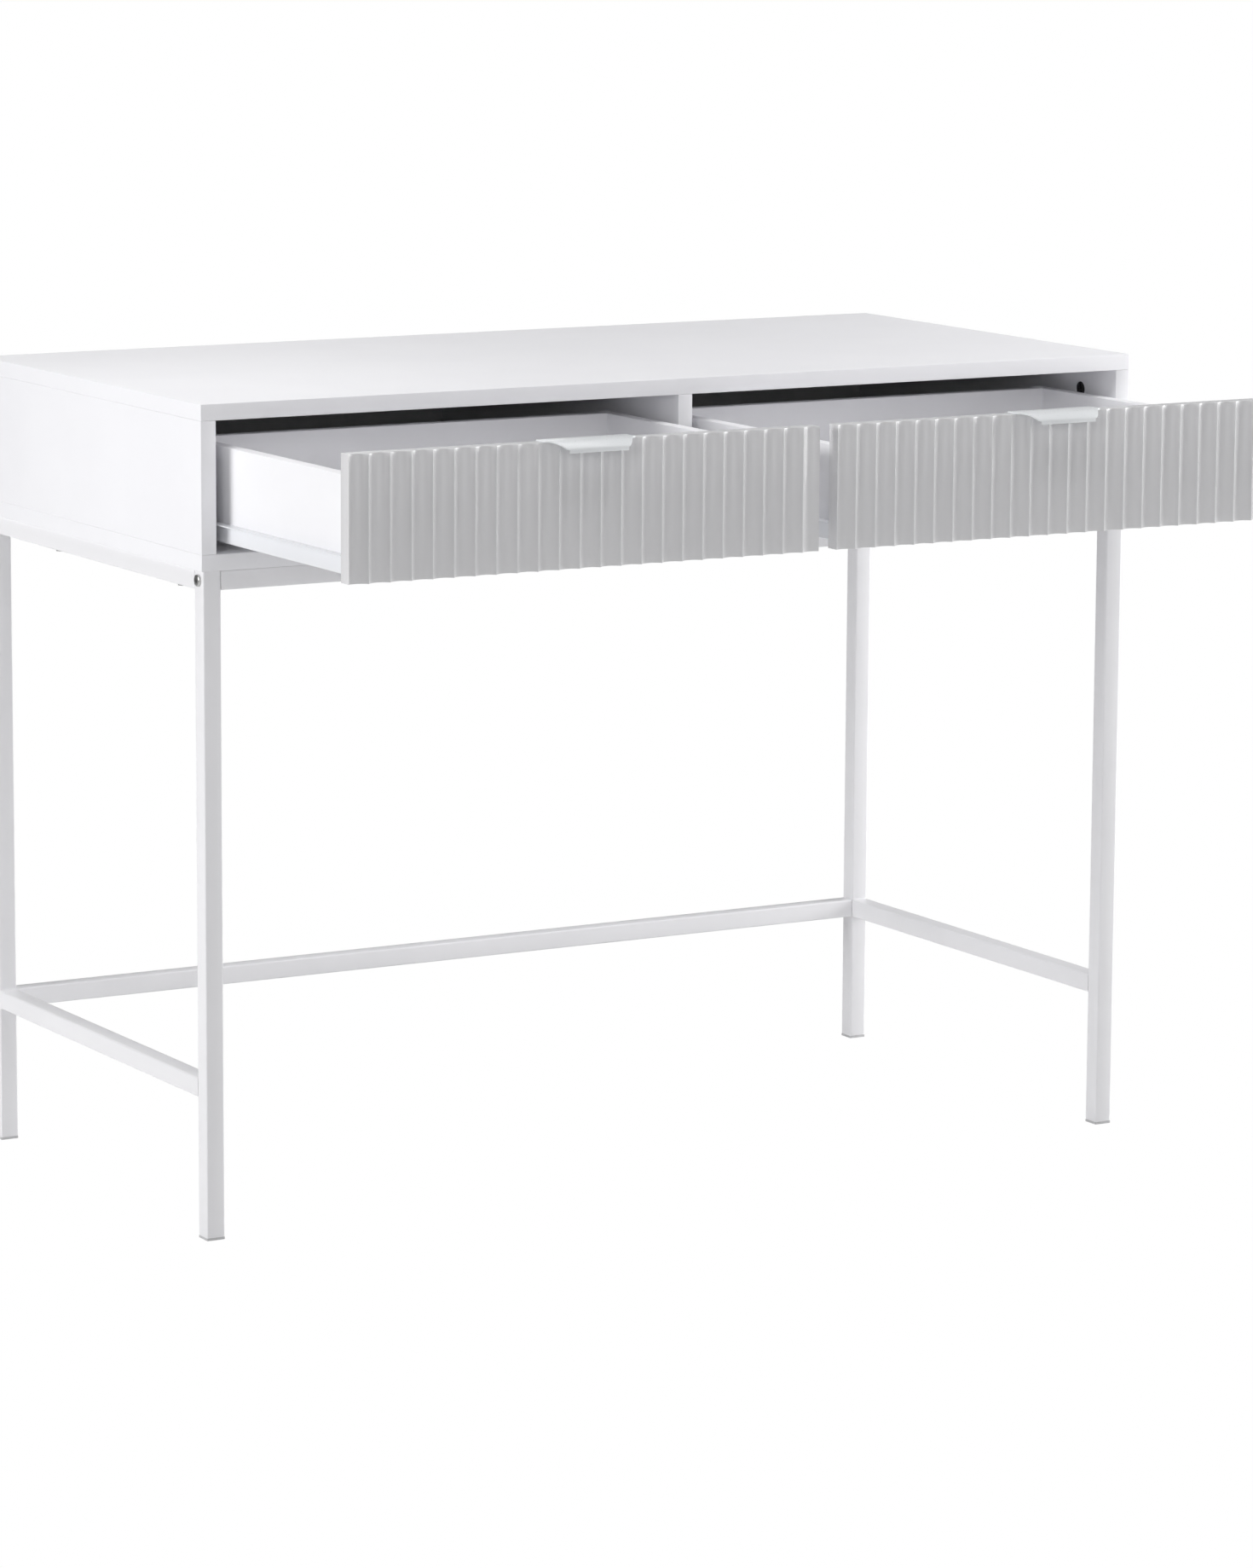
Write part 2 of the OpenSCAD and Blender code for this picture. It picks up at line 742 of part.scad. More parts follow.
module drawer_cam_locks(side) {
    color("dimgray") in_drawer(side) at_box_cams() cam_lock(box_cam_depth, box_t / 2, cam_d);
}

module drawer_cam_bolts(side) {
    color("silver") in_drawer(side) at_box_cams() translate([box_t / 2, 0, 0])
        bar_z(0, cam_edge + box_cam_grip, cam_bolt_d);
}

// ---- Handles ----

// Side view of the bent sheet: flange behind the front, flat top, falling arc and turned-down lip
module handle_section() {
    translate([0, tab_z - tab_r]) intersection() {
        difference() {
            circle(r = tab_r, $fn = 180);
            circle(r = tab_r - sheet_t, $fn = 180);
        }
        polygon([[0, 0], [0, 2 * tab_r], 2 * tab_r * [-sin(tab_turn), cos(tab_turn)]]);
    }
    translate([0, front_z1]) square([front_t + sheet_t, sheet_t]);
    translate([front_t, front_z1 - tab_flange_h]) square([sheet_t, tab_flange_h + sheet_t]);
    translate([-tab_reach, tab_z - tab_drop - tab_lip_h]) square([sheet_t, tab_lip_h]);
}

// Outline from above: the ends sweep in along an S-curve from the root to the lip
module handle_outline() {
    steps = 16;
    sweep = (tab_root_w - tab_lip_w) / 2;
    right = [for (i = [0:steps]) [
        tab_root_w / 2 - sweep * i / steps,
        -(tab_reach + overcut) * (1 - cos(180 * i / steps)) / 2
    ]];
    left = [for (i = [steps:-1:0]) [-right[i][0], right[i][1]]];
    back = front_t + sheet_t + overcut;
    polygon(concat(right, left, [[-tab_root_w / 2, back], [tab_root_w / 2, back]]));
}

// Runs along a handle's screws, with Y = 0 on the front's rear face
module at_tab_screws() {
    for (x = [-tab_screw_pitch / 2, tab_screw_pitch / 2]) {
        translate([x, front_t, tab_screw_z]) children();
    }
}

module drawer_handle(side) {
    color("white") in_drawer(side) difference() {
        intersection() {
            translate([-tab_root_w / 2, 0, 0]) rotate([90, 0, 90])
                linear_extrude(height = tab_root_w) handle_section();
            translate([0, 0, front_z0]) linear_extrude(height = tab_z + overcut - front_z0) handle_outline();
        }
        at_tab_screws() bar_y(-overcut, sheet_t + overcut, small_screw_d + 2 * bolt_gap);
    }
}

module drawer_handle_screws(side) {
    color("silver") in_drawer(side) at_tab_screws() translate([0, sheet_t, 0]) rotate([90, 0, 0]) difference() {
        screw(small_screw_d, sheet_t + tab_screw_grip, small_head_d, tab_head_h);
        translate([0, 0, -tab_head_h]) cross_recess(small_head_d / 2, 1);
    }
}

top_panel();
side_panel(-1);  // left_side_panel
side_panel(1);  // right_side_panel
centre_divider();
bottom_panel();
back_panel();
leg(-1, -1);  // left_front_leg
leg(-1, 1);  // left_rear_leg
leg(1, -1);  // right_front_leg
leg(1, 1);  // right_rear_leg
side_tube(-1, under_z - tube_w);  // left_upper_rail
side_tube(1, under_z - tube_w);  // right_upper_rail
side_tube(-1, stretcher_z);  // left_stretcher
side_tube(1, stretcher_z);  // right_stretcher
cross_tube(leg_front_y, under_z - tube_w);  // front_rail
cross_tube(leg_rear_y - tube_w, under_z - tube_w);  // rear_rail
cross_tube(leg_rear_y - tube_w, stretcher_z);  // rear_stretcher
glides();
frame_bolts();
frame_screws();
cam_locks();
cam_bolts();
panel_screws();
bay_runner(-1, -1);  // left_bay_left_runner
bay_runner(-1, 1);  // left_bay_right_runner
bay_runner(1, -1);  // right_bay_left_runner
bay_runner(1, 1);  // right_bay_right_runner
bay_roller(-1, -1);  // left_bay_left_roller
bay_roller(-1, 1);  // left_bay_right_roller
bay_roller(1, -1);  // right_bay_left_roller
bay_roller(1, 1);  // right_bay_right_roller
bay_runner_screws();
drawer_front(-1);  // left_drawer_front
drawer_side(-1, -1);  // left_drawer_left_side
drawer_side(-1, 1);  // left_drawer_right_side
drawer_back(-1);  // left_drawer_back
drawer_bottom(-1);  // left_drawer_bottom
drawer_handle(-1);  // left_drawer_handle
drawer_handle_screws(-1);  // left_drawer_handle_screws
drawer_runner(-1, -1);  // left_drawer_left_runner
drawer_runner(-1, 1);  // left_drawer_right_runner
drawer_roller(-1, -1);  // left_drawer_left_roller
drawer_roller(-1, 1);  // left_drawer_right_roller
drawer_cam_locks(-1);  // left_drawer_cam_locks
drawer_cam_bolts(-1);  // left_drawer_cam_bolts
drawer_runner_screws(-1);  // left_drawer_runner_screws
drawer_front(1);  // right_drawer_front
drawer_side(1, -1);  // right_drawer_left_side
drawer_side(1, 1);  // right_drawer_right_side
drawer_back(1);  // right_drawer_back
drawer_bottom(1);  // right_drawer_bottom
drawer_handle(1);  // right_drawer_handle
drawer_handle_screws(1);  // right_drawer_handle_screws
drawer_runner(1, -1);  // right_drawer_left_runner
drawer_runner(1, 1);  // right_drawer_right_runner
drawer_roller(1, -1);  // right_drawer_left_roller
drawer_roller(1, 1);  // right_drawer_right_roller
drawer_cam_locks(1);  // right_drawer_cam_locks
drawer_cam_bolts(1);  // right_drawer_cam_bolts
drawer_runner_screws(1);  // right_drawer_runner_screws
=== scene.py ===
"""Writing desk with two fluted drawers: the visual model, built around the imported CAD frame."""

import json
import logging
import math
from dataclasses import dataclass, field
from enum import Enum
from typing import Callable, Iterable, Sequence

import bpy
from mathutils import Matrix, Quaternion, Vector


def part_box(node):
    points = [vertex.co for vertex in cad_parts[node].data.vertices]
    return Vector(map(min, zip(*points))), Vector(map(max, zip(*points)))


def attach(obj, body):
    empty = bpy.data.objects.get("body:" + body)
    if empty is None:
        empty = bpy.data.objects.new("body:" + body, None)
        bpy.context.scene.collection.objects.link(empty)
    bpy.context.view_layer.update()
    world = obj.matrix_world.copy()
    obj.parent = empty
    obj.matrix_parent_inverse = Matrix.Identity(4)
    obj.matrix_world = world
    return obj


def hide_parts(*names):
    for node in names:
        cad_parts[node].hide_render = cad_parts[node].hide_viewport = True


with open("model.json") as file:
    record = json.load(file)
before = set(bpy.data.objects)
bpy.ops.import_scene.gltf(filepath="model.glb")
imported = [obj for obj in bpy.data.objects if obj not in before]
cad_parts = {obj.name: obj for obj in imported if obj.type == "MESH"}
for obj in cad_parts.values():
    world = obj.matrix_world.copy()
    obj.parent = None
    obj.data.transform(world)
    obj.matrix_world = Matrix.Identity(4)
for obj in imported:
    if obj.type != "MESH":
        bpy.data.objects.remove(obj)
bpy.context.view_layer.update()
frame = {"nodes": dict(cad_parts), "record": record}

LOG = logging.getLogger("desk")
MM = 0.001
Piece = bpy.types.Object


class Side(Enum):
    """Left or right, as the sign of X."""

    LEFT = -1
    RIGHT = 1

    @property
    def word(self) -> str:
        """The side's name as node names write it."""
        return self.name.lower()


class Axis(Enum):
    """A frame axis, by its index."""

    X = 0
    Y = 1
    Z = 2


@dataclass(frozen=True)
class Box:
    """An axis-aligned box between two corners, in metres."""

    low: Vector
    high: Vector

    @classmethod
    def of(cls, node: str) -> "Box":
        """The box of a CAD node at rest."""
        low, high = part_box(node)
        return cls(low, high)

    @classmethod
    def between(cls, one: Sequence[float], other: Sequence[float]) -> "Box":
        """The box between any two opposite corners."""
        return cls(Vector(map(min, one, other)), Vector(map(max, one, other)))

    @property
    def size(self) -> Vector:
        """Edge lengths."""
        return self.high - self.low

    @property
    def centre(self) -> Vector:
        """Middle point."""
        return (self.low + self.high) / 2

    def grown(self, amount: Sequence[float]) -> "Box":
        """The box with each face moved out by an amount per axis.

        Args:
            amount: distance along X, Y and Z, negative to shrink.

        Returns:
            The new box.
        """
        step = Vector(amount)
        return Box(self.low - step, self.high + step)


# ---------------------------------------------------------------- workshop


class Shop:
    """Modelling operations, each done with Blender's own operators."""

    @staticmethod
    def clear() -> None:
        """Deselects everything and leaves edit mode."""
        if bpy.context.object and bpy.context.object.mode != "OBJECT":
            bpy.ops.object.mode_set(mode="OBJECT")
        bpy.ops.object.select_all(action="DESELECT")

    @staticmethod
    def pick(*pieces: Piece) -> None:
        """Selects only these pieces and makes the first one active."""
        Shop.clear()
        for piece in pieces:
            piece.select_set(True)
        bpy.context.view_layer.objects.active = pieces[0]

    @staticmethod
    def fix(piece: Piece) -> Piece:
        """Puts a piece's place, turn and scale into its mesh."""
        Shop.pick(piece)
        bpy.ops.object.transform_apply(location=True, rotation=True, scale=True)
        return piece

    @staticmethod
    def block(name: str, box: Box) -> Piece:
        """A plain block that fills a box, as the start of a piece."""
        Shop.clear()
        bpy.ops.mesh.primitive_cube_add(size=1, location=box.centre)
        piece = bpy.context.object
        piece.name = name
        piece.scale = box.size
        return Shop.fix(piece)

    @staticmethod
    def bar(name: str, start: Vector, end: Vector, radius: float, sides: int = 48) -> Piece:
        """A round bar between two points.

        Args:
            name: the piece's name.
            start: centre of the first end.
            end: centre of the second end.
            radius: bar radius in metres.
            sides: faces round the bar.

        Returns:
            The bar, with its place in its mesh.
        """
        Shop.clear()
        way = end - start
        bpy.ops.mesh.primitive_cylinder_add(
            vertices=sides, radius=radius, depth=way.length, location=(start + end) / 2
        )
        piece = bpy.context.object
        piece.name = name
        piece.rotation_mode = "QUATERNION"
        piece.rotation_quaternion = way.to_track_quat("Z", "Y")
        return Shop.fix(piece)

    @staticmethod
    def modify(piece: Piece, kind: str, **settings: object) -> Piece:
        """Adds a modifier, sets it and applies it.

        Args:
            piece: the piece to change.
            kind: Blender's modifier type.
            settings: the modifier's properties.

        Returns:
            The piece.
        """
        Shop.pick(piece)
        modifier = piece.modifiers.new(kind.title(), kind)
        for key, value in settings.items():
            setattr(modifier, key, value)
        bpy.ops.object.modifier_apply(modifier=modifier.name)
        return piece

    @staticmethod
    def ease(
        piece: Piece, radius: float, segments: int = 2, angle: float = 30
    ) -> Piece:
        """Rounds every edge sharper than an angle in degrees."""
        Shop.modify(
            piece,
            "BEVEL",
            width=radius,
            segments=segments,
            limit_method="ANGLE",
            angle_limit=math.radians(angle),
            use_clamp_overlap=False,
            harden_normals=False,
        )
        return Shop.smooth(piece)

    @staticmethod
    def smooth(piece: Piece, angle: float = 35) -> Piece:
        """Smooth shading across edges flatter than an angle in degrees."""
        Shop.pick(piece)
        bpy.ops.object.shade_smooth_by_angle(angle=math.radians(angle))
        return piece

    @staticmethod
    def cut(piece: Piece, *cutters: Piece) -> Piece:
        """Takes the cutters out of a piece and deletes them."""
        for cutter in cutters:
            Shop.modify(piece, "BOOLEAN", operation="DIFFERENCE", solver="EXACT", object=cutter)
            bpy.data.objects.remove(cutter)
        return piece

    @staticmethod
    def join(name: str, pieces: Sequence[Piece]) -> Piece:
        """Joins pieces into one object with a new name."""
        Shop.pick(*pieces)
        if len(pieces) > 1:
            bpy.ops.object.join()
        pieces[0].name = name
        return pieces[0]

    @staticmethod
    def edit(piece: Piece, wanted: Callable[[Vector], bool], mode: str = "VERT") -> None:
        """Enters edit mode with chosen parts of the mesh selected.

        Args:
            piece: the piece to edit.
            wanted: tells from a vertex's place, or from a face's normal, whether it is selected.
            mode: VERT to choose by place, FACE to choose by normal.
        """
        Shop.pick(piece)
        bpy.ops.object.mode_set(mode="EDIT")
        bpy.ops.mesh.select_mode(type=mode)
        bpy.ops.mesh.select_all(action="DESELECT")
        bpy.ops.object.mode_set(mode="OBJECT")
        if mode == "VERT":
            for vertex in piece.data.vertices:
                vertex.select = wanted(vertex.co)
        else:
            for face in piece.data.polygons:
                face.select = wanted(face.normal)
        bpy.ops.object.mode_set(mode="EDIT")
        if mode == "VERT":
            bpy.ops.mesh.select_mode(type="EDGE")

    @staticmethod
    def pick_edges(piece: Piece, axis: Axis, length: float) -> None:
        """Enters edit mode with the edges selected that run further than a length along an axis.

        Args:
            piece: the piece to edit.
            axis: the axis they run along.
            length: the shortest run, in metres.
        """
        Shop.pick(piece)
        bpy.ops.object.mode_set(mode="EDIT")
        bpy.ops.mesh.select_mode(type="EDGE")
        bpy.ops.mesh.select_all(action="DESELECT")
        bpy.ops.object.mode_set(mode="OBJECT")
        for edge in piece.data.edges:
            ends = [piece.data.vertices[i].co[axis.value] for i in edge.vertices]
            edge.select = abs(ends[0] - ends[1]) > length
        bpy.ops.object.mode_set(mode="EDIT")

    @staticmethod
    def turn_out(piece: Piece) -> Piece:
        """Merges doubled points and points every face outwards."""
        Shop.edit(piece, lambda item: True)
        bpy.ops.mesh.select_mode(type="VERT")
        bpy.ops.mesh.select_all(action="SELECT")
        bpy.ops.mesh.remove_doubles(threshold=1e-6)
        bpy.ops.mesh.normals_make_consistent(inside=False)
        Shop.clear()
        return piece


# ---------------------------------------------------------------- finishes


@dataclass(frozen=True)
class Finish:
    """A procedural surface: tone, roughness and relief all vary over it by noise."""

    name: str
    colour: tuple[float, float, float]
    shade: tuple[float, float, float]
    roughness: tuple[float, float]
    grain: float
    relief: float
    mottle: float = 9.0
    stretch: tuple[float, float, float] = (1.0, 1.0, 1.0)
    metallic: float = 0.0
    coat: float = 0.0
    specular: float = 0.5
    subsurface: float = 0.0

    def build(self) -> bpy.types.Material:
        """Makes the node material.

        Returns:
            A material that reads Object coordinates.
        """
        material = bpy.data.materials.new(self.name)
        material.use_nodes = True
        tree = material.node_tree
        shader = tree.nodes["Principled BSDF"]
        shader.inputs["Metallic"].default_value = self.metallic
        shader.inputs["Coat Weight"].default_value = self.coat
        shader.inputs["Specular IOR Level"].default_value = self.specular
        shader.inputs["Subsurface Weight"].default_value = self.subsurface
        shader.inputs["Subsurface Scale"].default_value = 2 * MM
        place = tree.nodes.new("ShaderNodeTexCoord")
        mapping = tree.nodes.new("ShaderNodeMapping")
        mapping.inputs["Scale"].default_value = self.stretch
        tree.links.new(place.outputs["Object"], mapping.inputs["Vector"])
        clouds = self._noise(tree, mapping, self.mottle, 4.0)
        grains = self._noise(tree, mapping, self.grain, 3.0)
        self._link_colour(tree, clouds, shader)
        self._link_roughness(tree, grains, shader)
        self._link_relief(tree, grains, shader)
        return material

    def _noise(
        self, tree: bpy.types.NodeTree, mapping: bpy.types.Node, scale: float, detail: float
    ) -> bpy.types.Node:
        """A noise texture on the mapped coordinates, with a given scale per metre."""
        noise = tree.nodes.new("ShaderNodeTexNoise")
        noise.inputs["Scale"].default_value = scale
        noise.inputs["Detail"].default_value = detail
        noise.inputs["Roughness"].default_value = 0.55
        tree.links.new(mapping.outputs["Vector"], noise.inputs["Vector"])
        return noise

    def _link_colour(self, tree: bpy.types.NodeTree, clouds: bpy.types.Node, shader: bpy.types.Node) -> None:
        """Blends the two tones over the surface in wide, soft clouds."""
        ramp = tree.nodes.new("ShaderNodeValToRGB")
        ramp.color_ramp.elements[0].position = 0.35
        ramp.color_ramp.elements[1].position = 0.65
        ramp.color_ramp.elements[0].color = (*self.shade, 1)
        ramp.color_ramp.elements[1].color = (*self.colour, 1)
        tree.links.new(clouds.outputs["Fac"], ramp.inputs["Fac"])
        tree.links.new(ramp.outputs["Color"], shader.inputs["Base Color"])

    def _link_roughness(
        self, tree: bpy.types.NodeTree, grains: bpy.types.Node, shader: bpy.types.Node
    ) -> None:
        """Varies the roughness between its two values."""
        spread = tree.nodes.new("ShaderNodeMapRange")
        spread.inputs["From Min"].default_value = 0.3
        spread.inputs["From Max"].default_value = 0.7
        spread.inputs["To Min"].default_value = self.roughness[0]
        spread.inputs["To Max"].default_value = self.roughness[1]
        tree.links.new(grains.outputs["Fac"], spread.inputs["Value"])
        tree.links.new(spread.outputs["Result"], shader.inputs["Roughness"])

    def _link_relief(self, tree: bpy.types.NodeTree, grains: bpy.types.Node, shader: bpy.types.Node) -> None:
        """Turns the fine noise into a shallow relief, in metres."""
        bump = tree.nodes.new("ShaderNodeBump")
        bump.inputs["Strength"].default_value = 1.0
        bump.inputs["Distance"].default_value = self.relief
        tree.links.new(grains.outputs["Fac"], bump.inputs["Height"])
        tree.links.new(bump.outputs["Normal"], shader.inputs["Normal"])


FINISHES = {
    "carcass_board": Finish(
        "pearl_melamine", (0.878, 0.876, 0.90), (0.863, 0.861, 0.886), (0.42, 0.56), 1600, 0.02 * MM
    ),
    "drawer_board": Finish(
        "smooth_melamine", (0.905, 0.903, 0.925), (0.89, 0.888, 0.91), (0.45, 0.58), 1300, 0.015 * MM
    ),
    # Painted shade: the fluted fronts are the same white as the other boards, and their tone is set darker
    # to stand in for the shade in the coves.
    "fluted_board": Finish(
        "white_lacquer", (0.72, 0.717, 0.73), (0.705, 0.702, 0.715), (0.34, 0.46), 900, 0.02 * MM,
        stretch=(1.0, 1.0, 0.12), coat=0.15,
    ),
    # Partly painted shade: the back panel is a white painted hardboard, and its tone is set a little darker
    # than the other boards to stand in for the shade inside the carcass.
    "back_board": Finish(
        "painted_hardboard", (0.82, 0.825, 0.83), (0.77, 0.775, 0.78), (0.6, 0.75), 700, 0.05 * MM
    ),
    "frame_steel": Finish(
        "white_powder_coat", (0.852, 0.849, 0.868), (0.837, 0.834, 0.853), (0.30, 0.46), 620, 0.04 * MM,
        coat=0.1,
    ),
    "handle_steel": Finish(
        "smooth_powder_coat", (0.825, 0.845, 0.862), (0.81, 0.83, 0.847), (0.26, 0.38), 800, 0.02 * MM,
        coat=0.25,
    ),
    "runner_steel": Finish(
        "white_epoxy", (0.82, 0.83, 0.86), (0.80, 0.81, 0.84), (0.28, 0.42), 700, 0.02 * MM, coat=0.2
    ),
    "nylon": Finish(
        "moulded_nylon", (0.74, 0.74, 0.71), (0.68, 0.68, 0.65), (0.4, 0.55), 1200, 0.02 * MM,
        mottle=120, subsurface=0.15,
    ),
    "glide_plastic": Finish(
        "grey_polythene", (0.60, 0.60, 0.61), (0.55, 0.55, 0.56), (0.5, 0.65), 1500, 0.04 * MM, mottle=90
    ),
    "zinc_steel": Finish(
        "zinc_plate", (0.62, 0.62, 0.61), (0.50, 0.50, 0.50), (0.2, 0.42), 2400, 0.02 * MM,
        mottle=300, stretch=(1.0, 1.0, 0.25), metallic=1.0,
    ),
    "cam_metal": Finish(
        "cast_zinc", (0.10, 0.10, 0.10), (0.05, 0.05, 0.05), (0.35, 0.6), 1800, 0.06 * MM,
        mottle=400, metallic=0.85,
    ),
}


class PaintShop:
    """Builds each finish once and puts it on pieces and CAD nodes."""

    def __init__(self) -> None:
        """Makes every material."""
        self.materials = {slot: finish.build() for slot, finish in FINISHES.items()}

    def coat(self, piece: Piece, slot: str) -> None:
        """Gives a piece the material of one slot."""
        piece.data.materials.clear()
        piece.data.materials.append(self.materials[slot])

    def hand_over(self, piece: Piece, body: str, slot: str, nodes: Iterable[str] = ()) -> None:
        """Dresses a finished piece and ties it to its body.

        Args:
            piece: the finished piece.
            body: the CAD body it moves with.
            slot: the record's material slot.
            nodes: the CAD nodes it stands for.
        """
        self.coat(piece, slot)
        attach(piece, body)
        if nodes:
            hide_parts(*nodes)
        LOG.info("%s: %d faces, on %s", piece.name, len(piece.data.polygons), body)

    def coat_nodes(self) -> None:
        """Dresses every CAD node in its own slot's material."""
        for entry in frame["record"]["subparts"]:
            node = frame["nodes"][entry["node"]]
            self.coat(node, entry["material_slot"])


# ---------------------------------------------------------------- shared hardware


@dataclass
class Screws:
    """Small pan-head screws and their cross-shaped recesses."""

    head_radius: float = 3.0 * MM
    head_height: float = 0.9 * MM
    dome: float = 0.5 * MM
    recess_span: float = 3.2 * MM
    recess_width: float = 0.8 * MM
    recess_share: float = 0.55
    sides: int = 32

    def head(self, name: str, seat: Vector, way: Vector) -> Piece:
        """A rounded head with a cross recess.

        Args:
            name: the piece's name.
            seat: centre of the face that the head sits on.
            way: unit vector from the seat out through the head.

        Returns:
            The head as one piece.
        """
        top = seat + way * self.head_height
        head = Shop.ease(Shop.bar(name, seat, top, self.head_radius, self.sides), self.dome, 3)
        across = way.orthogonal().normalized()
        deep = way * self.head_height * self.recess_share
        cuts = []
        for arm in (across, way.cross(across)):
            wide = way.cross(arm).normalized() * self.recess_width / 2
            corner = arm * self.recess_span / 2 + wide + deep
            cuts.append(Shop.block("recess", Box.between(top - corner, top + corner)))
        return Shop.cut(head, *cuts)


@dataclass
class CamLocks:
    """Round cast cam locks that sit in bores in a board's face."""

    radius: float = 7.5 * MM
    gap: float = 0.2 * MM
    sunk: float = 0.3 * MM
    rim: float = 0.5 * MM
    arm: float = 4.6 * MM
    arm_half: float = 0.95 * MM
    recess: float = 2.2 * MM
    dot_offset: float = 5.9 * MM
    dot_radius: float = 0.7 * MM
    dot_depth: float = 0.8 * MM

    def bore(self, seat: Vector, way: int, depth: float) -> Piece:
        """Cutter for one lock.

        Args:
            seat: the lock's centre on the board's face.
            way: sign of X into the board.
            depth: how deep the bore goes.

        Returns:
            A round cutter.
        """
        step = Vector((way, 0, 0))
        return Shop.bar("cam_bore", seat - step * MM, seat + step * depth, self.radius, 64)

    def lock(self, seat: Vector, way: int, length: float) -> Piece:
        """One lock, with a chamfered rim, a cross recess and a pointer dot.

        Args:
            seat: the lock's centre on the board's face.
            way: sign of X into the board.
            length: how deep the lock reaches below the face.

        Returns:
            The lock.
        """
        start = seat + Vector((way * self.sunk, 0, 0))
        end = seat + Vector((way * length, 0, 0))
        lock = Shop.ease(Shop.bar("cam_lock", start, end, self.radius - self.gap, 64), self.rim, 2)
        for span in ((self.arm, self.arm_half), (self.arm_half, self.arm)):
            half = Vector((self.recess, *span))
            Shop.cut(lock, Shop.block("slot", Box(start - half, start + half)))
        dot = start + Vector((0, 0, self.dot_offset))
        deep = Vector((way * self.dot_depth, 0, 0))
        return Shop.smooth(Shop.cut(lock, Shop.bar("dot", dot - deep, dot + deep, self.dot_radius, 16)))


# ---------------------------------------------------------------- carcass


@dataclass
class Carcass:
    """The boards of the desk: top, sides, bottom, divider and back, with their cam locks."""

    paint: PaintShop
    edge_radius: float = 0.6 * MM
    groove_gap: float = 0.2 * MM
    cams: CamLocks = field(default_factory=CamLocks)
    cam_depth: float = 12.5 * MM
    cam_end_gap: float = 0.3 * MM
    cam_setback: float = 61.0 * MM
    cam_drop: float = 24.0 * MM
    counterbore_radius: float = 5.05 * MM
    counterbore_depth: float = 3.0 * MM
    panel_screw_head: float = 5.0 * MM

    def build(self) -> None:
        """Makes every board and cam lock."""
        self.side_panel(Side.LEFT)
        self.side_panel(Side.RIGHT)
        self.divider()
        self.top()
        self.bottom()
        self.back()
        self.cam_locks()

    def board(self, node: str) -> Piece:
        """A board with eased edges that fills its CAD node's box."""
        return Shop.ease(Shop.block(node + "_board", Box.of(node)), self.edge_radius, 3)

    def finish(self, piece: Piece, node: str, slot: str = "carcass_board") -> None:
        """Smooths a board and hands it over."""
        Shop.smooth(piece)
        self.paint.hand_over(piece, "carcass", slot, [node])

    def groove(self) -> Piece:
        """Cutter for the back panel's groove in all the boards round it."""
        back = Box.of("back_panel")
        return Shop.block("groove", back.grown((self.groove_gap, self.groove_gap, self.groove_gap)))

    def cam_rows(self) -> list[float]:
        """Y of the front and the rear cam locks."""
        top = Box.of("top_panel")
        return [top.low.y + self.cam_setback, top.high.y - self.cam_setback]

    def cam_bores(self, face_x: float, way: int) -> list[Piece]:
        """Cutters for a board's two cam locks.

        Args:
            face_x: X of the face that they are bored from.
            way: sign of X into the board.

        Returns:
            Two round cutters.
        """
        height = Box.of("top_panel").low.z - self.cam_drop
        rows = self.cam_rows()
        return [self.cams.bore(Vector((face_x, y, height)), way, self.cam_depth) for y in rows]

    def side_panel(self, side: Side) -> None:
        """One side board, with its groove and cam bores."""
        node = side.word + "_side_panel"
        box = Box.of(node)
        inner_x = box.high.x if side is Side.LEFT else box.low.x
        piece = Shop.cut(self.board(node), self.groove(), *self.cam_bores(inner_x, side.value))
        self.finish(piece, node)

    def divider(self) -> None:
        """The board between the bays, with cam bores on its right face."""
        box = Box.of("centre_divider")
        piece = Shop.cut(self.board("centre_divider"), *self.cam_bores(box.high.x, -1))
        self.finish(piece, "centre_divider")

    def top(self) -> None:
        """The desk top."""
        self.finish(Shop.cut(self.board("top_panel"), self.groove()), "top_panel")

    def bottom(self) -> None:
        """The bottom board, with counterbores for the panel screws' heads."""
        box = Box.of("bottom_panel")
        screws = Box.of("panel_screws")
        head = self.panel_screw_head
        cutters = [self.groove()]
        for x in (screws.low.x + head, screws.centre.x, screws.high.x - head):
            for y in (screws.low.y + head, screws.high.y - head):
                start = Vector((x, y, box.low.z - MM))
                end = Vector((x, y, box.low.z + self.counterbore_depth))
                cutters.append(Shop.bar("counterbore", start, end, self.counterbore_radius, 32))
        self.finish(Shop.cut(self.board("bottom_panel"), *cutters), "bottom_panel")

    def back(self) -> None:
        """The thin back panel."""
        piece = Shop.ease(Shop.block("back_panel_board", Box.of("back_panel")), 0.2 * MM)
        self.finish(piece, "back_panel", "back_board")

    def cam_locks(self) -> None:
        """The six cam locks in the sides and the divider."""
        left = Box.of("left_side_panel")
        right = Box.of("right_side_panel")
        divider = Box.of("centre_divider")
        faces = [(left.high.x, -1), (divider.high.x, -1), (right.low.x, 1)]
        height = Box.of("top_panel").low.z - self.cam_drop
        length = self.cam_depth - self.cam_end_gap
        locks = []
        for face_x, way in faces:
            for y in self.cam_rows():
                locks.append(self.cams.lock(Vector((face_x, y, height)), way, length))
        self.paint.hand_over(Shop.join("cam_lock_set", locks), "carcass", "cam_metal", ["cam_locks"])


# ---------------------------------------------------------------- tube frame


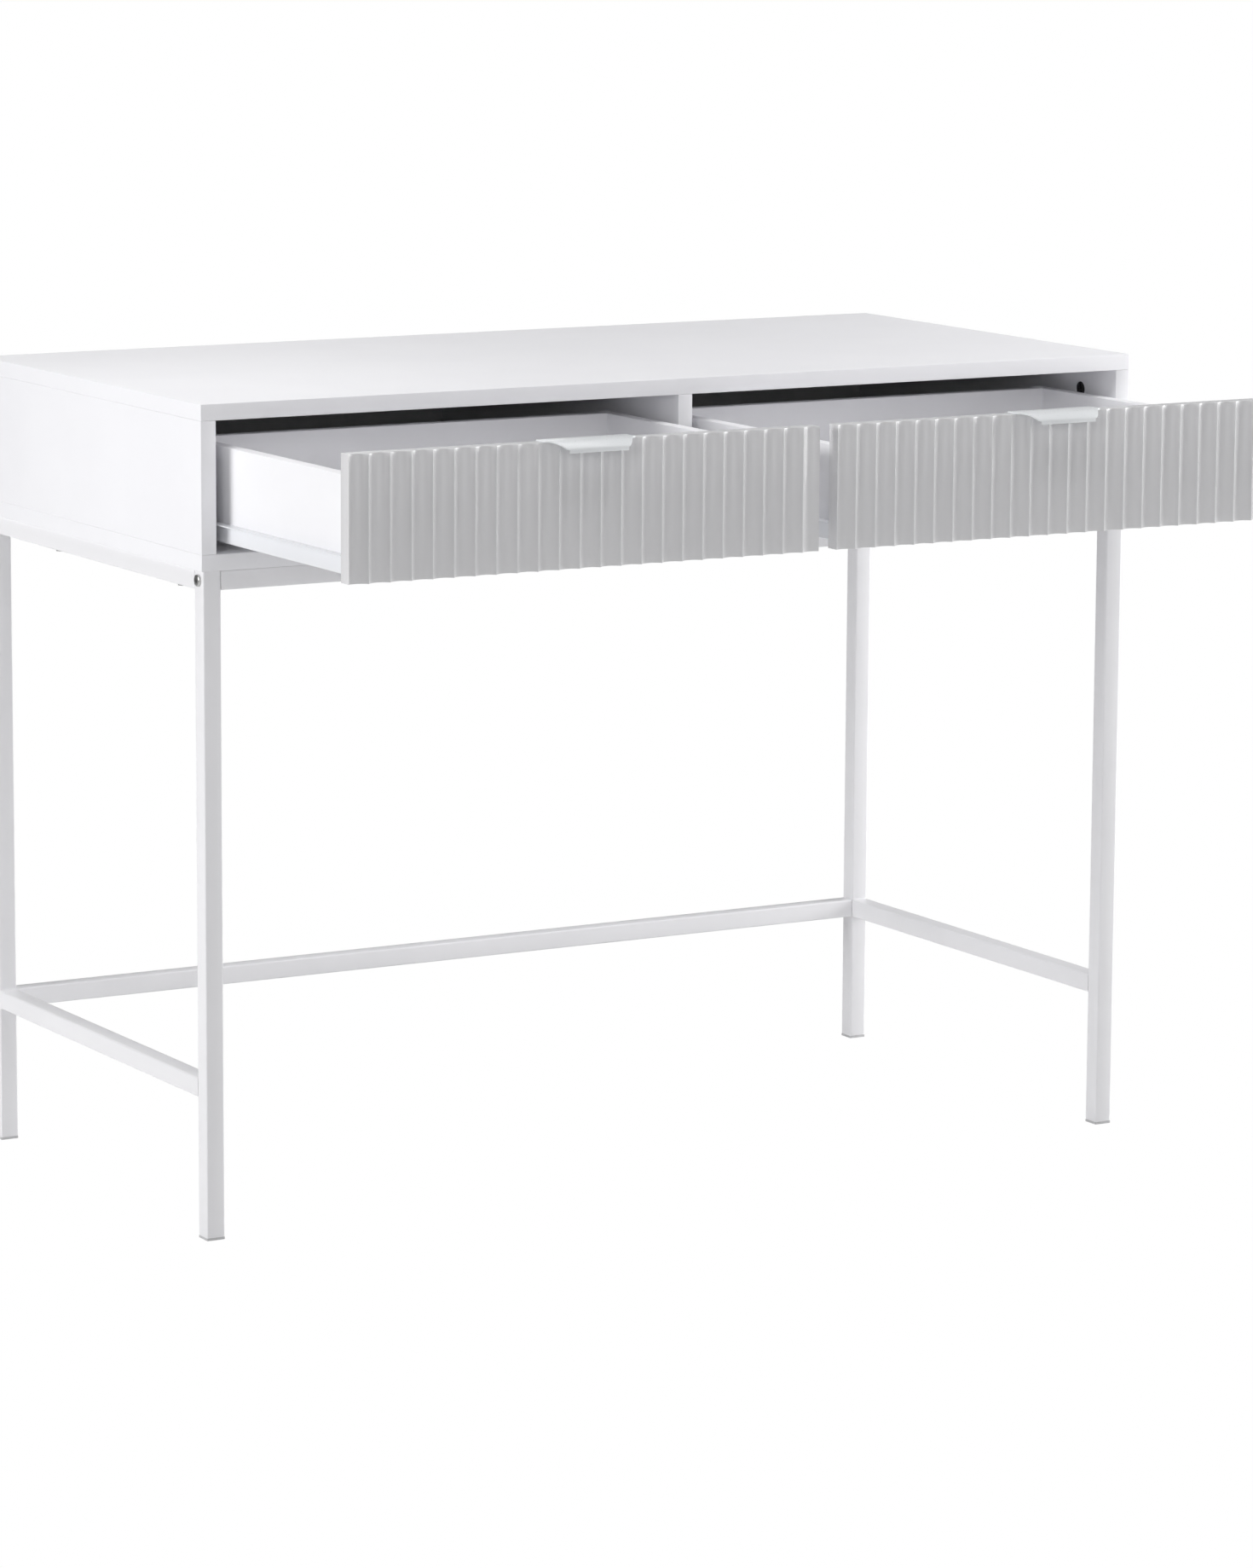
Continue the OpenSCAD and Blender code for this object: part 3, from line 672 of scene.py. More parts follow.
@dataclass
class TubeFrame:
    """The bolted square-tube frame with its welds, bolts and glides."""

    paint: PaintShop
    corner_radius: float = 1.8 * MM
    wall: float = 1.2 * MM
    bolt_hole_radius: float = 3.25 * MM
    bead_radius: float = 1.1 * MM
    bead_pitch: float = 1.25 * MM
    head_radius: float = 5.5 * MM
    head_height: float = 2.5 * MM
    socket_radius: float = 2.31 * MM
    socket_depth: float = 1.7 * MM
    head_dome: float = 1.3 * MM
    shank_radius: float = 3.0 * MM
    shank_length: float = 29.0 * MM
    rib_count: int = 4
    rib_pitch: float = 3.0 * MM
    rib_height: float = 1.2 * MM
    rib_play: float = 0.15 * MM
    core_inset: float = 4.0 * MM
    core_reach: float = 11.0 * MM

    def build(self) -> None:
        """Makes every tube, weld, bolt and glide."""
        for side in Side:
            for end in ("front", "rear"):
                self.tube(f"{side.word}_{end}_leg", Axis.Z)
            self.tube(f"{side.word}_upper_rail", Axis.Y)
            self.tube(f"{side.word}_stretcher", Axis.Y)
            self.welds(side)
        for node in ("front_rail", "rear_rail", "rear_stretcher"):
            self.tube(node, Axis.X)
        self.bolts()
        self.glides()

    def tube(self, node: str, axis: Axis) -> None:
        """One square tube with rounded corners and open ends.

        Args:
            node: the CAD node it stands for.
            axis: the axis it runs along.
        """
        box = Box.of(node)
        piece = Shop.block(node + "_tube", box)
        Shop.edit(piece, lambda normal: abs(normal[axis.value]) > 0.9, "FACE")
        bpy.ops.mesh.delete(type="FACE")
        Shop.pick_edges(piece, axis, box.size[axis.value] / 2)
        bpy.ops.mesh.bevel(offset=self.corner_radius, segments=5, affect="EDGES")
        Shop.clear()
        Shop.modify(piece, "SOLIDIFY", thickness=self.wall, offset=-1, use_even_offset=True)
        Shop.ease(piece, 0.15 * MM, 1, 50)
        if axis is Axis.Z:
            Shop.cut(piece, *self.bolt_bores(box, "rear" in node))
        Shop.smooth(piece)
        self.paint.hand_over(piece, "carcass", "frame_steel", [node])

    def bolt_bores(self, leg: Box, rear: bool) -> list[Piece]:
        """Cutters for the bolt holes through one leg."""
        heights = [Box.of("front_rail").centre.z]
        if rear:
            heights.append(Box.of("rear_stretcher").centre.z)
        bores = []
        for z in heights:
            start = Vector((leg.low.x - MM, leg.centre.y, z))
            end = Vector((leg.high.x + MM, leg.centre.y, z))
            bores.append(Shop.bar("bolt_bore", start, end, self.bolt_hole_radius, 32))
        return bores

    def welds(self, side: Side) -> None:
        """Rippled weld beads at each end of a side frame's two tubes: below the upper rail, above and below
        the stretcher.
        """
        rail = Box.of(side.word + "_upper_rail")
        stretcher = Box.of(side.word + "_stretcher")
        corners = [(rail, rail.low.z), (stretcher, stretcher.low.z), (stretcher, stretcher.high.z)]
        beads = []
        for tube, z in corners:
            for y, out in ((tube.low.y, 1), (tube.high.y, -1)):
                outward = -1 if z == tube.low.z else 1
                middle = Vector((tube.centre.x, y, z)) + Vector((0, out, outward)) * self.bead_radius * 0.1
                beads.append(self.bead(middle, tube.size.x - 2 * self.corner_radius))
        piece = Shop.join(side.word + "_frame_welds", beads)
        self.paint.hand_over(piece, "carcass", "frame_steel")

    def bead(self, middle: Vector, length: float) -> Piece:
        """One bead along X, its radius rising and falling with each ripple.

        Args:
            middle: the bead's middle.
            length: the bead's length.

        Returns:
            The bead.
        """
        ripples = round(length / self.bead_pitch)
        half = Vector((length / 2, 0, 0))
        bead = Shop.bar("bead", middle - half, middle + half, self.bead_radius, 12)
        Shop.pick_edges(bead, Axis.X, length / 2)
        bpy.ops.mesh.subdivide(number_cuts=4 * ripples)
        Shop.clear()
        for vertex in bead.data.vertices:
            along = (vertex.co.x - middle.x) / length + 0.5
            swell = 0.85 + 0.15 * abs(math.sin(math.pi * ripples * along))
            taper = min(1.0, 6 * min(along, 1 - along) + 0.35)
            vertex.co.y = middle.y + (vertex.co.y - middle.y) * swell * taper
            vertex.co.z = middle.z + (vertex.co.z - middle.z) * swell * taper
        return Shop.smooth(bead, 60)

    def bolts(self) -> None:
        """Six socket bolts: rounded heads, hexagon sockets and shanks."""
        rail_z = Box.of("front_rail").centre.z
        low_z = Box.of("rear_stretcher").centre.z
        front_y = Box.of("left_front_leg").centre.y
        rear_y = Box.of("left_rear_leg").centre.y
        outer = Box.of("left_front_leg").low.x
        bolts = []
        for side in Side:
            for y, z in ((front_y, rail_z), (rear_y, rail_z), (rear_y, low_z)):
                bolts.append(self.bolt(Vector((side.value * -outer, y, z)), side))
        self.paint.hand_over(Shop.join("frame_bolt_set", bolts), "carcass", "zinc_steel", ["frame_bolts"])

    def bolt(self, seat: Vector, side: Side) -> Piece:
        """One bolt whose head sits on a leg's outer face.

        Args:
            seat: the head's centre on the leg.
            side: the side of the desk it is on.

        Returns:
            The bolt.
        """
        out = Vector((side.value, 0, 0))
        top = seat + out * self.head_height
        head = Shop.bar("bolt", seat, top, self.head_radius, 48)
        Shop.edit(head, lambda normal: normal.dot(out) > 0.9, "FACE")
        bpy.ops.mesh.bevel(offset=self.head_dome, segments=5, affect="EDGES")
        Shop.clear()
        floor = top - out * self.socket_depth
        Shop.cut(head, Shop.bar("socket", top + out * MM, floor, self.socket_radius, 6))
        shank = Shop.bar("shank", seat, seat - out * self.shank_length, self.shank_radius, 32)
        Shop.smooth(head, 40)
        Shop.smooth(shank)
        return Shop.join("bolt", [head, shank])

    def glides(self) -> None:
        """Four pads with a soft lower edge and a ribbed plug inside the leg."""
        pads = []
        for side in Side:
            for end in ("front", "rear"):
                leg = Box.of(f"{side.word}_{end}_leg")
                foot = Box(Vector((leg.low.x, leg.low.y, 0)), Vector((leg.high.x, leg.high.y, leg.low.z)))
                pad = Shop.block("pad", foot.grown((-0.1 * MM, -0.1 * MM, 0)))
                Shop.ease(pad, 0.5 * MM, 3)
                ribs = [pad]
                inset = self.wall + self.rib_play
                for level in range(self.rib_count):
                    low = leg.low.z + 0.5 * MM + level * self.rib_pitch
                    rib = Box(
                        Vector((leg.low.x + inset, leg.low.y + inset, low)),
                        Vector((leg.high.x - inset, leg.high.y - inset, low + self.rib_height)),
                    )
                    ribs.append(Shop.ease(Shop.block("rib", rib), 0.3 * MM))
                core = Box(
                    foot.low + Vector((self.core_inset, self.core_inset, MM)),
                    foot.high + Vector((-self.core_inset, -self.core_inset, self.core_reach)),
                )
                ribs.append(Shop.block("core", core))
                pads.append(Shop.join("pad", ribs))
        self.paint.hand_over(Shop.join("glide_set", pads), "carcass", "glide_plastic", ["glides"])


# ---------------------------------------------------------------- runners


@dataclass
class RollerRunners:
    """White bottom-mounted runners: sheet-steel channels, flanged drawer members and nylon rollers."""

    paint: PaintShop
    steel: float = 1.2 * MM
    bend_radius: float = 1.1 * MM
    roller_radius: float = 6.5 * MM
    rivet_radius: float = 2.0 * MM
    rivet_rim: float = 0.8 * MM
    rivet_gap: float = 0.2 * MM
    screw_edge: float = 32.0 * MM
    dish_radius: float = 5.1 * MM
    hub_radius: float = 3.2 * MM
    arc_radius: float = 11.0 * MM
    arc_groove: float = 0.75 * MM
    arc_height: float = 9.0 * MM
    arc_level: float = 8.3 * MM
    long_arcs: tuple[float, ...] = (6 * MM, 12 * MM, 18 * MM)
    short_arcs: tuple[float, ...] = (45 * MM, 60 * MM)
    short_share: float = 0.55
    lip: float = 3.0 * MM
    open_length: float = 18.5 * MM
    screws: Screws = field(default_factory=Screws)

    def build(self) -> None:
        """Makes the four cabinet runners, four drawer runners and eight rollers."""
        for side in Side:
            for wall in Side:
                self.bay_runner(side, wall)
                self.drawer_runner(side, wall)
                self.roller(f"{side.word}_bay_{wall.word}_roller", wall)
                self.roller(f"{side.word}_drawer_{wall.word}_roller", wall)

    def sheet(
        self, name: str, path: Sequence[tuple[float, float]], y0: float, y1: float
    ) -> Piece:
        """Bends a strip of steel along Y through the corners of a path.

        Args:
            name: the piece's name.
            path: X and Z of each corner on the strip's outer face.
            y0: front end.
            y1: rear end.

        Returns:
            The bent strip, still without thickness.
        """
        Shop.clear()
        bpy.ops.mesh.primitive_plane_add(size=1, location=(0, 0, 0))
        strip = bpy.context.object
        strip.name = name
        ends = [(path[0], y0), (path[0], y1), (path[1], y0), (path[1], y1)]
        spots = sorted(strip.data.vertices, key=lambda v: (round(v.co.x, 3), round(v.co.y, 3)))
        for vertex, (corner, y) in zip(spots, ends):
            vertex.co = (corner[0], y, corner[1])
        for last, here in zip(path[1:], path[2:]):
            Shop.edit(strip, lambda co, at=last: math.hypot(co.x - at[0], co.z - at[1]) < 1e-6)
            step = (here[0] - last[0], 0, here[1] - last[1])
            bpy.ops.mesh.extrude_region_move(TRANSFORM_OT_translate={"value": step})
            Shop.clear()
        return strip

    def bend(
        self, strip: Piece, corners: Sequence[tuple[float, float]], offset: float
    ) -> Piece:
        """Rounds the bends of a strip and gives it its thickness.

        Args:
            strip: the strip without thickness.
            corners: X and Z of each bend.
            offset: -1 or 1, the side that the thickness grows on.

        Returns:
            The finished sheet.
        """
        Shop.edit(
            strip,
            lambda co: any(math.hypot(co.x - at[0], co.z - at[1]) < 1e-6 for at in corners),
        )
        bpy.ops.mesh.bevel(offset=self.bend_radius, segments=4, affect="EDGES")
        Shop.clear()
        Shop.modify(strip, "SOLIDIFY", thickness=self.steel, offset=offset, use_even_offset=True)
        Shop.turn_out(strip)
        return Shop.smooth(Shop.ease(strip, 0.2 * MM, 1, 50))

    def bay_runner(self, side: Side, wall: Side) -> None:
        """One cabinet runner: channel, front roller's rivet and screws.

        Args:
            side: the bay.
            wall: the wall of the bay that it is screwed to.
        """
        node = f"{side.word}_bay_{wall.word}_runner"
        box = Box.of(node)
        inward = -wall.value
        wall_x = box.low.x if wall is Side.LEFT else box.high.x
        reach = box.size.x * inward
        low, high = box.low.z, box.high.z
        y_open = box.low.y + self.open_length
        roller = Box.of(f"{side.word}_bay_{wall.word}_roller")
        tray_path = [
            (wall_x, high),
            (wall_x, low),
            (wall_x + reach, low),
            (wall_x + reach, low + self.steel + self.lip),
        ]
        side_of = 1 if wall is Side.LEFT else -1
        tray = self.bend(self.sheet("tray", tray_path, y_open, box.high.y), tray_path[1:3], -side_of)
        nose_path = [(wall_x, high), (wall_x, low), (wall_x + reach, low)]
        nose = self.bend(self.sheet("nose", nose_path, box.low.y, y_open), nose_path[1:2], -side_of)
        lid_x = roller.high.x if wall is Side.LEFT else roller.low.x
        lid = Shop.ease(
            Shop.block("lid", Box.between((wall_x, y_open, high - self.steel), (lid_x, box.high.y, high))),
            0.3 * MM, 2,
        )
        axle = self.rivet(roller, wall_x, inward)
        heads = self.bay_screws(box, wall_x, inward)
        piece = Shop.join(node + "_channel", [tray, nose, lid, axle])
        self.paint.hand_over(piece, "carcass", "runner_steel", [node])
        screws = Shop.join(node + "_screws", heads)
        self.paint.hand_over(screws, "carcass", "zinc_steel", ["bay_runner_screws"])

    def bay_screws(self, box: Box, wall_x: float, inward: int) -> list[Piece]:
        """The three screw heads on a cabinet runner's web."""
        edge = self.screw_edge
        way = Vector((inward, 0, 0))
        heads = []
        for y in (box.low.y + edge, box.centre.y, box.high.y - edge):
            seat = Vector((wall_x + inward * self.steel, y, box.centre.z))
            heads.append(self.screws.head("screw", seat, way))
        return heads

    def rivet(self, roller: Box, from_x: float, way: int) -> Piece:
        """The rivet that a roller turns on, with a shoulder and a domed head.

        Args:
            roller: the roller's box.
            from_x: X of the steel that the rivet is fixed to.
            way: sign of X from the steel towards the roller.

        Returns:
            The rivet.
        """
        near, far = (roller.low.x, roller.high.x) if way > 0 else (roller.high.x, roller.low.x)
        gap = self.rivet_gap * way
        rim = self.rivet_radius + self.rivet_rim

        def turned(name: str, x0: float, x1: float, radius: float) -> Piece:
            """One round length of the rivet, between two places along X."""
            ends = [Vector((x, roller.centre.y, roller.centre.z)) for x in (x0, x1)]
            return Shop.bar(name, *ends, radius, 32)

        shaft = turned("rivet", from_x, far + gap * 2, self.rivet_radius)
        collar = turned("collar", from_x, near - gap, rim)
        head = turned("head", far + gap, far + gap * 4, rim)
        Shop.ease(head, 0.25 * MM, 2)
        return Shop.join("rivet", [shaft, collar, head])

    def drawer_runner(self, side: Side, wall: Side) -> None:
        """One drawer runner: flanged web with pressed arcs near its front end, ledge and rivet.

        Args:
            side: the drawer.
            wall: the side of the drawer that it is screwed to.
        """
        node = f"{side.word}_drawer_{wall.word}_runner"
        box = Box.of(node)
        board = Box.of(f"{side.word}_drawer_{wall.word}_side")
        out = wall.value
        web_x = (board.low.x if wall is Side.LEFT else board.high.x) + out * self.steel
        ledge_x = box.high.x if wall is Side.LEFT else box.low.x
        flange_x = box.low.x if wall is Side.LEFT else box.high.x
        low, high = box.low.z, box.high.z
        y0, y1 = box.low.y, box.high.y
        side_of = 1 if wall is Side.LEFT else -1
        lower = [(web_x, high - self.steel), (web_x, low), (ledge_x, low)]
        foot = self.bend(self.sheet("foot", lower, y0, y1), lower[1:2], -side_of)
        edge = Box.between((flange_x, y0, high - self.steel), (web_x - out * self.steel, y1, high))
        flange = Shop.ease(Shop.block("flange", edge), 0.35 * MM, 3)
        roller = Box.of(f"{side.word}_drawer_{wall.word}_roller")
        axle = self.rivet(roller, web_x, out)
        Shop.smooth(Shop.cut(foot, *self.embossing(web_x, y0, box)), 50)
        piece = Shop.join(node + "_member", [foot, flange, axle])
        self.paint.hand_over(piece, side.word + "_drawer", "runner_steel", [node])

    def embossing(self, web_x: float, y0: float, box: Box) -> list[Piece]:
        """Cutters for the arcs pressed into the web near the drawer front.

        Args:
            web_x: X of the web's outer face.
            y0: the runner's front end.
            box: the runner's box.

        Returns:
            The arcs.
        """
        arcs = []
        for place in self.long_arcs + self.short_arcs:
            Shop.clear()
            share = self.short_share if place in self.short_arcs else 1.0
            centre = Vector((web_x, y0 + place - self.arc_radius, box.low.z + self.arc_level))
            bpy.ops.mesh.primitive_torus_add(
                major_segments=96, minor_segments=12,
                major_radius=self.arc_radius, minor_radius=self.arc_groove,
                location=centre, rotation=(0, math.radians(90), 0),
            )
            arc = Shop.fix(bpy.context.object)
            limit = self.arc_height * share / 2
            Shop.edit(arc, lambda co: co.y < centre.y or abs(co.z - centre.z) > limit)
            bpy.ops.mesh.select_mode(type="VERT")
            bpy.ops.mesh.delete(type="VERT")
            Shop.clear()
            Shop.edit(arc, lambda co: True)
            bpy.ops.mesh.region_to_loop()
            bpy.ops.mesh.edge_face_add()
            Shop.clear()
            arcs.append(Shop.smooth(Shop.turn_out(arc), 50))
        return arcs

    def roller(self, node: str, wall: Side) -> None:
        """A nylon roller with rounded rims, dished faces and a hub."""
        box = Box.of(node)
        centre = box.centre
        half = Vector((box.size.x / 2, 0, 0))
        wheel = Shop.bar(node + "_wheel", centre - half, centre + half, self.roller_radius, 64)
        Shop.ease(wheel, 0.5 * MM, 3)
        for way in (-1, 1):
            face = centre + half * way
            dish = Shop.bar("dish", face + half * way, face - half * way * 0.25, self.dish_radius, 48)
            hub = Shop.bar("hub", face + half * way * 2, face - half * way, self.hub_radius, 48)
            Shop.cut(wheel, Shop.cut(dish, hub))
        bore = Shop.bar("bore", centre - half * 2, centre + half * 2, self.rivet_radius + 0.05 * MM, 32)
        Shop.cut(wheel, bore)
        Shop.smooth(wheel)
        self.paint.hand_over(wheel, node, "nylon", [node])


# ---------------------------------------------------------------- drawers


@dataclass
class Drawer:
    """One drawer: fluted front, box, bent handle and its fittings."""

    paint: PaintShop
    side: Side
    flute_pitch: float = 20.8 * MM
    flute_radius: float = 13.0 * MM
    ridge: float = 0.6 * MM
    ridge_radius: float = 0.22 * MM
    edge_radius: float = 0.5 * MM
    groove_gap: float = 0.2 * MM
    sheet: float = 1.5 * MM
    root_width: float = 90 * MM
    lip_width: float = 59 * MM
    reach: float = 16 * MM
    drop: float = 6.5 * MM
    lip_height: float = 3.5 * MM
    rear_bend: float = 2.0 * MM
    lip_bend: float = 0.9 * MM
    arc_steps: int = 24
    screw_pitch: float = 64 * MM
    screw_bore: float = 2.0 * MM
    shank_radius: float = 1.75 * MM
    shank_length: float = 10.0 * MM
    cams: CamLocks = field(default_factory=CamLocks)
    cam_depth: float = 10.5 * MM
    screws: Screws = field(default_factory=lambda: Screws(head_height=2.0 * MM, dome=1.2 * MM))

    @property
    def body(self) -> str:
        """The CAD body that the drawer's pieces ride on."""
        return self.side.word + "_drawer"

    def node(self, part: str) -> str:
        """The CAD node's name for one part of this drawer."""
        return f"{self.side.word}_drawer_{part}"

    def build(self) -> None:
        """Makes every piece of the drawer."""
        self.front()
        for wall in Side:
            self.side_board(wall)
        self.plain_board("back")
        self.plain_board("bottom")
        self.cam_locks()
        self.handle()
        self.handle_screws()

    def finish(self, piece: Piece, part: str, slot: str) -> None:
        """Smooths a piece and hands it over for its CAD node."""
        Shop.smooth(piece)
        self.paint.hand_over(piece, self.body, slot, [self.node(part)])

    def bottom_groove(self) -> Piece:
        """Cutter for the groove that holds the drawer bottom."""
        gap = self.groove_gap
        return Shop.block("groove", Box.of(self.node("bottom")).grown((gap, gap, gap)))

    def front(self) -> None:
        """The front, hollowed by a row of flutes from its middle outwards."""
        box = Box.of(self.node("front"))
        half = (self.flute_pitch - self.ridge) / 2
        back_off = math.sqrt(self.flute_radius ** 2 - half ** 2)
        count = math.ceil(box.size.x / self.flute_pitch)
        first_x = box.centre.x - (count - 1) / 2 * self.flute_pitch
        start = Vector((first_x, box.low.y - back_off, box.low.z - 5 * MM))
        end = Vector((first_x, box.low.y - back_off, box.high.z + 5 * MM))
        cutter = Shop.bar("flutes", start, end, self.flute_radius, 160)
        Shop.modify(
            cutter, "ARRAY", count=count, use_relative_offset=False, use_constant_offset=True,
            constant_offset_displace=(self.flute_pitch, 0, 0),
        )
        front = Shop.block(self.node("front") + "_board", box)
        Shop.cut(front, cutter, self.bottom_groove())
        Shop.ease(front, self.ridge_radius, 2)
        self.finish(front, "front", "fluted_board")

    def side_board(self, wall: Side) -> None:
        """One side board, grooved for the bottom and slotted for the back."""
        part = wall.word + "_side"
        node = self.node(part)
        board = Shop.ease(Shop.block(node + "_board", Box.of(node)), self.edge_radius, 3)
        back = Box.of(self.node("back"))
        bore = self.cams.bore(self.cam_seat(wall), wall.value, self.cam_depth)
        Shop.cut(board, self.bottom_groove(), Shop.block("slot", back.grown((0, 0, MM))), bore)
        self.finish(board, part, "drawer_board")

    def cam_seat(self, wall: Side) -> Vector:
        """Centre of a side board's cam lock, on the board's inner face."""
        board = Box.of(self.node(wall.word + "_side"))
        locks = Box.of(self.node("cam_locks"))
        return Vector((board.high.x if wall is Side.LEFT else board.low.x, locks.centre.y, locks.centre.z))

    def cam_locks(self) -> None:
        """The two locks that draw the front onto the side boards."""
        locks = [self.cams.lock(self.cam_seat(wall), wall.value, self.cam_depth - 0.2 * MM) for wall in Side]
        piece = Shop.join(self.node("cam_locks") + "_set", locks)
        self.paint.hand_over(piece, self.body, "cam_metal", [self.node("cam_locks")])

    def plain_board(self, part: str) -> None:
        """The back board or the thin bottom."""
        board = Shop.block(self.node(part) + "_board", Box.of(self.node(part)))
        Shop.ease(board, 0.3 * MM, 2)
        if part == "back":
            Shop.cut(board, self.bottom_groove())
        self.finish(board, part, "drawer_board")

    def half_width(self, forward: float) -> float:
        """Half the handle's width at a distance in front of the drawer front."""
        share = math.acos(1 - 2 * min(max(forward / self.reach, 0), 1)) / math.pi
        return self.root_width / 2 - share * (self.root_width - self.lip_width) / 2

    def handle(self) -> None:
        """A tab of bent sheet: flange behind the front, flat top, falling arc and turned-down lip."""
        box = Box.of(self.node("handle"))
        front = Box.of(self.node("front"))
        turn = 2 * math.atan(self.drop / self.reach)
        radius = self.reach / math.sin(turn)
        top, face_y, rear_y = box.high.z, front.low.y, box.high.y
        Shop.clear()
        bpy.ops.mesh.primitive_plane_add(size=1, location=(box.centre.x, (face_y + rear_y) / 2, top))
        tab = bpy.context.object
        tab.name = self.node("handle") + "_tab"
        tab.scale = (self.root_width, rear_y - face_y, 1)
        Shop.fix(tab)
        Shop.edit(tab, lambda co: abs(co.y - face_y) < 1e-6)
        bpy.ops.mesh.spin(
            steps=self.arc_steps, angle=turn, center=(box.centre.x, face_y, top - radius), axis=(-1, 0, 0)
        )
        bpy.ops.mesh.extrude_region_move(TRANSFORM_OT_translate={"value": (0, 0, -self.lip_height)})
        Shop.clear()
        Shop.edit(tab, lambda co: abs(co.y - rear_y) < 1e-6)
        bpy.ops.mesh.extrude_region_move(TRANSFORM_OT_translate={"value": (0, 0, box.low.z - top)})
        Shop.clear()
        self.sweep_ends(tab, box.centre.x, face_y)
        self.round_bends(tab, top, rear_y, face_y)
        Shop.turn_out(tab)
        Shop.modify(tab, "SOLIDIFY", thickness=self.sheet, offset=-1, use_even_offset=True)
        Shop.ease(tab, 0.35 * MM, 3, 50)
        reach = Vector((0, 5 * MM, 0))
        seats = self.handle_screw_seats()
        Shop.cut(tab, *[Shop.bar("bore", at - reach, at + reach, self.screw_bore, 24) for at in seats])
        self.finish(tab, "handle", "handle_steel")

    def sweep_ends(self, tab: Piece, middle_x: float, face_y: float) -> None:
        """Draws the ends of the tab in along an S-curve, one row of points at a time."""
        rows = sorted({round(v.co.y, 7) for v in tab.data.vertices if v.co.y < face_y - 1e-6})
        for row in rows:
            Shop.edit(tab, lambda co, at=row: abs(co.y - at) < 1e-6)
            scale = self.half_width(face_y - row) / (self.root_width / 2)
            bpy.ops.transform.resize(value=(scale, 1, 1), center_override=(middle_x, 0, 0))
            Shop.clear()

    def round_bends(self, tab: Piece, top: float, rear_y: float, face_y: float) -> None:
        """Rounds the bend over the rear flange and the bend above the lip."""
        lip_z = top - self.drop
        Shop.edit(tab, lambda co: abs(co.y - rear_y) < 1e-6 and abs(co.z - top) < 1e-6)
        bpy.ops.mesh.bevel(offset=self.rear_bend, segments=5, affect="EDGES")
        Shop.clear()
        Shop.edit(tab, lambda co: abs(co.y - (face_y - self.reach)) < 1e-6 and abs(co.z - lip_z) < 1e-6)
        bpy.ops.mesh.bevel(offset=self.lip_bend, segments=4, affect="EDGES")
        Shop.clear()

    def handle_screw_seats(self) -> list[Vector]:
        """Where the two screw heads sit on the handle's rear flange."""
        box = Box.of(self.node("handle"))
        front = Box.of(self.node("front"))
        z = (box.low.z + front.high.z) / 2
        return [
            Vector((box.centre.x + way * self.screw_pitch / 2, box.high.y, z)) for way in (-1, 1)
        ]

    def handle_screws(self) -> None:
        """Two domed screws through the flange into the front."""
        parts = []
        for seat in self.handle_screw_seats():
            head = self.screws.head("screw", seat, Vector((0, 1, 0)))
            tip = seat - Vector((0, self.shank_length, 0))
            shank = Shop.bar("shank", seat, tip, self.shank_radius, 24)
            parts.append(Shop.join("screw", [head, shank]))
        piece = Shop.join(self.node("handle_screws") + "_set", parts)
        self.paint.hand_over(piece, self.body, "zinc_steel", [self.node("handle_screws")])


# ---------------------------------------------------------------- studio


@dataclass(frozen=True)
class Lamp:
    """A square soft light: where it stands, how wide it is and its power in watts."""

    name: str
    place: tuple[float, float, float]
    width: float
    power: float


LAMPS = (
    Lamp("left", (-2.6, 0.32, 1.1), 0.9, 35.0),
    Lamp("left_front", (-2.4, -2.2, 1.6), 1.2, 12.0),
    Lamp("front", (0.0, -3.6, 1.4), 2.0, 21.0),
    Lamp("right_front", (2.6, -2.2, 1.4), 1.6, 4.0),
    Lamp("right", (2.8, -0.4, 1.2), 1.5, 74.0),
    Lamp("overhead", (0.0, -0.2, 3.2), 2.6, 48.0),
    Lamp("rear_top", (0.2, 2.6, 2.4), 2.0, 19.0),
)


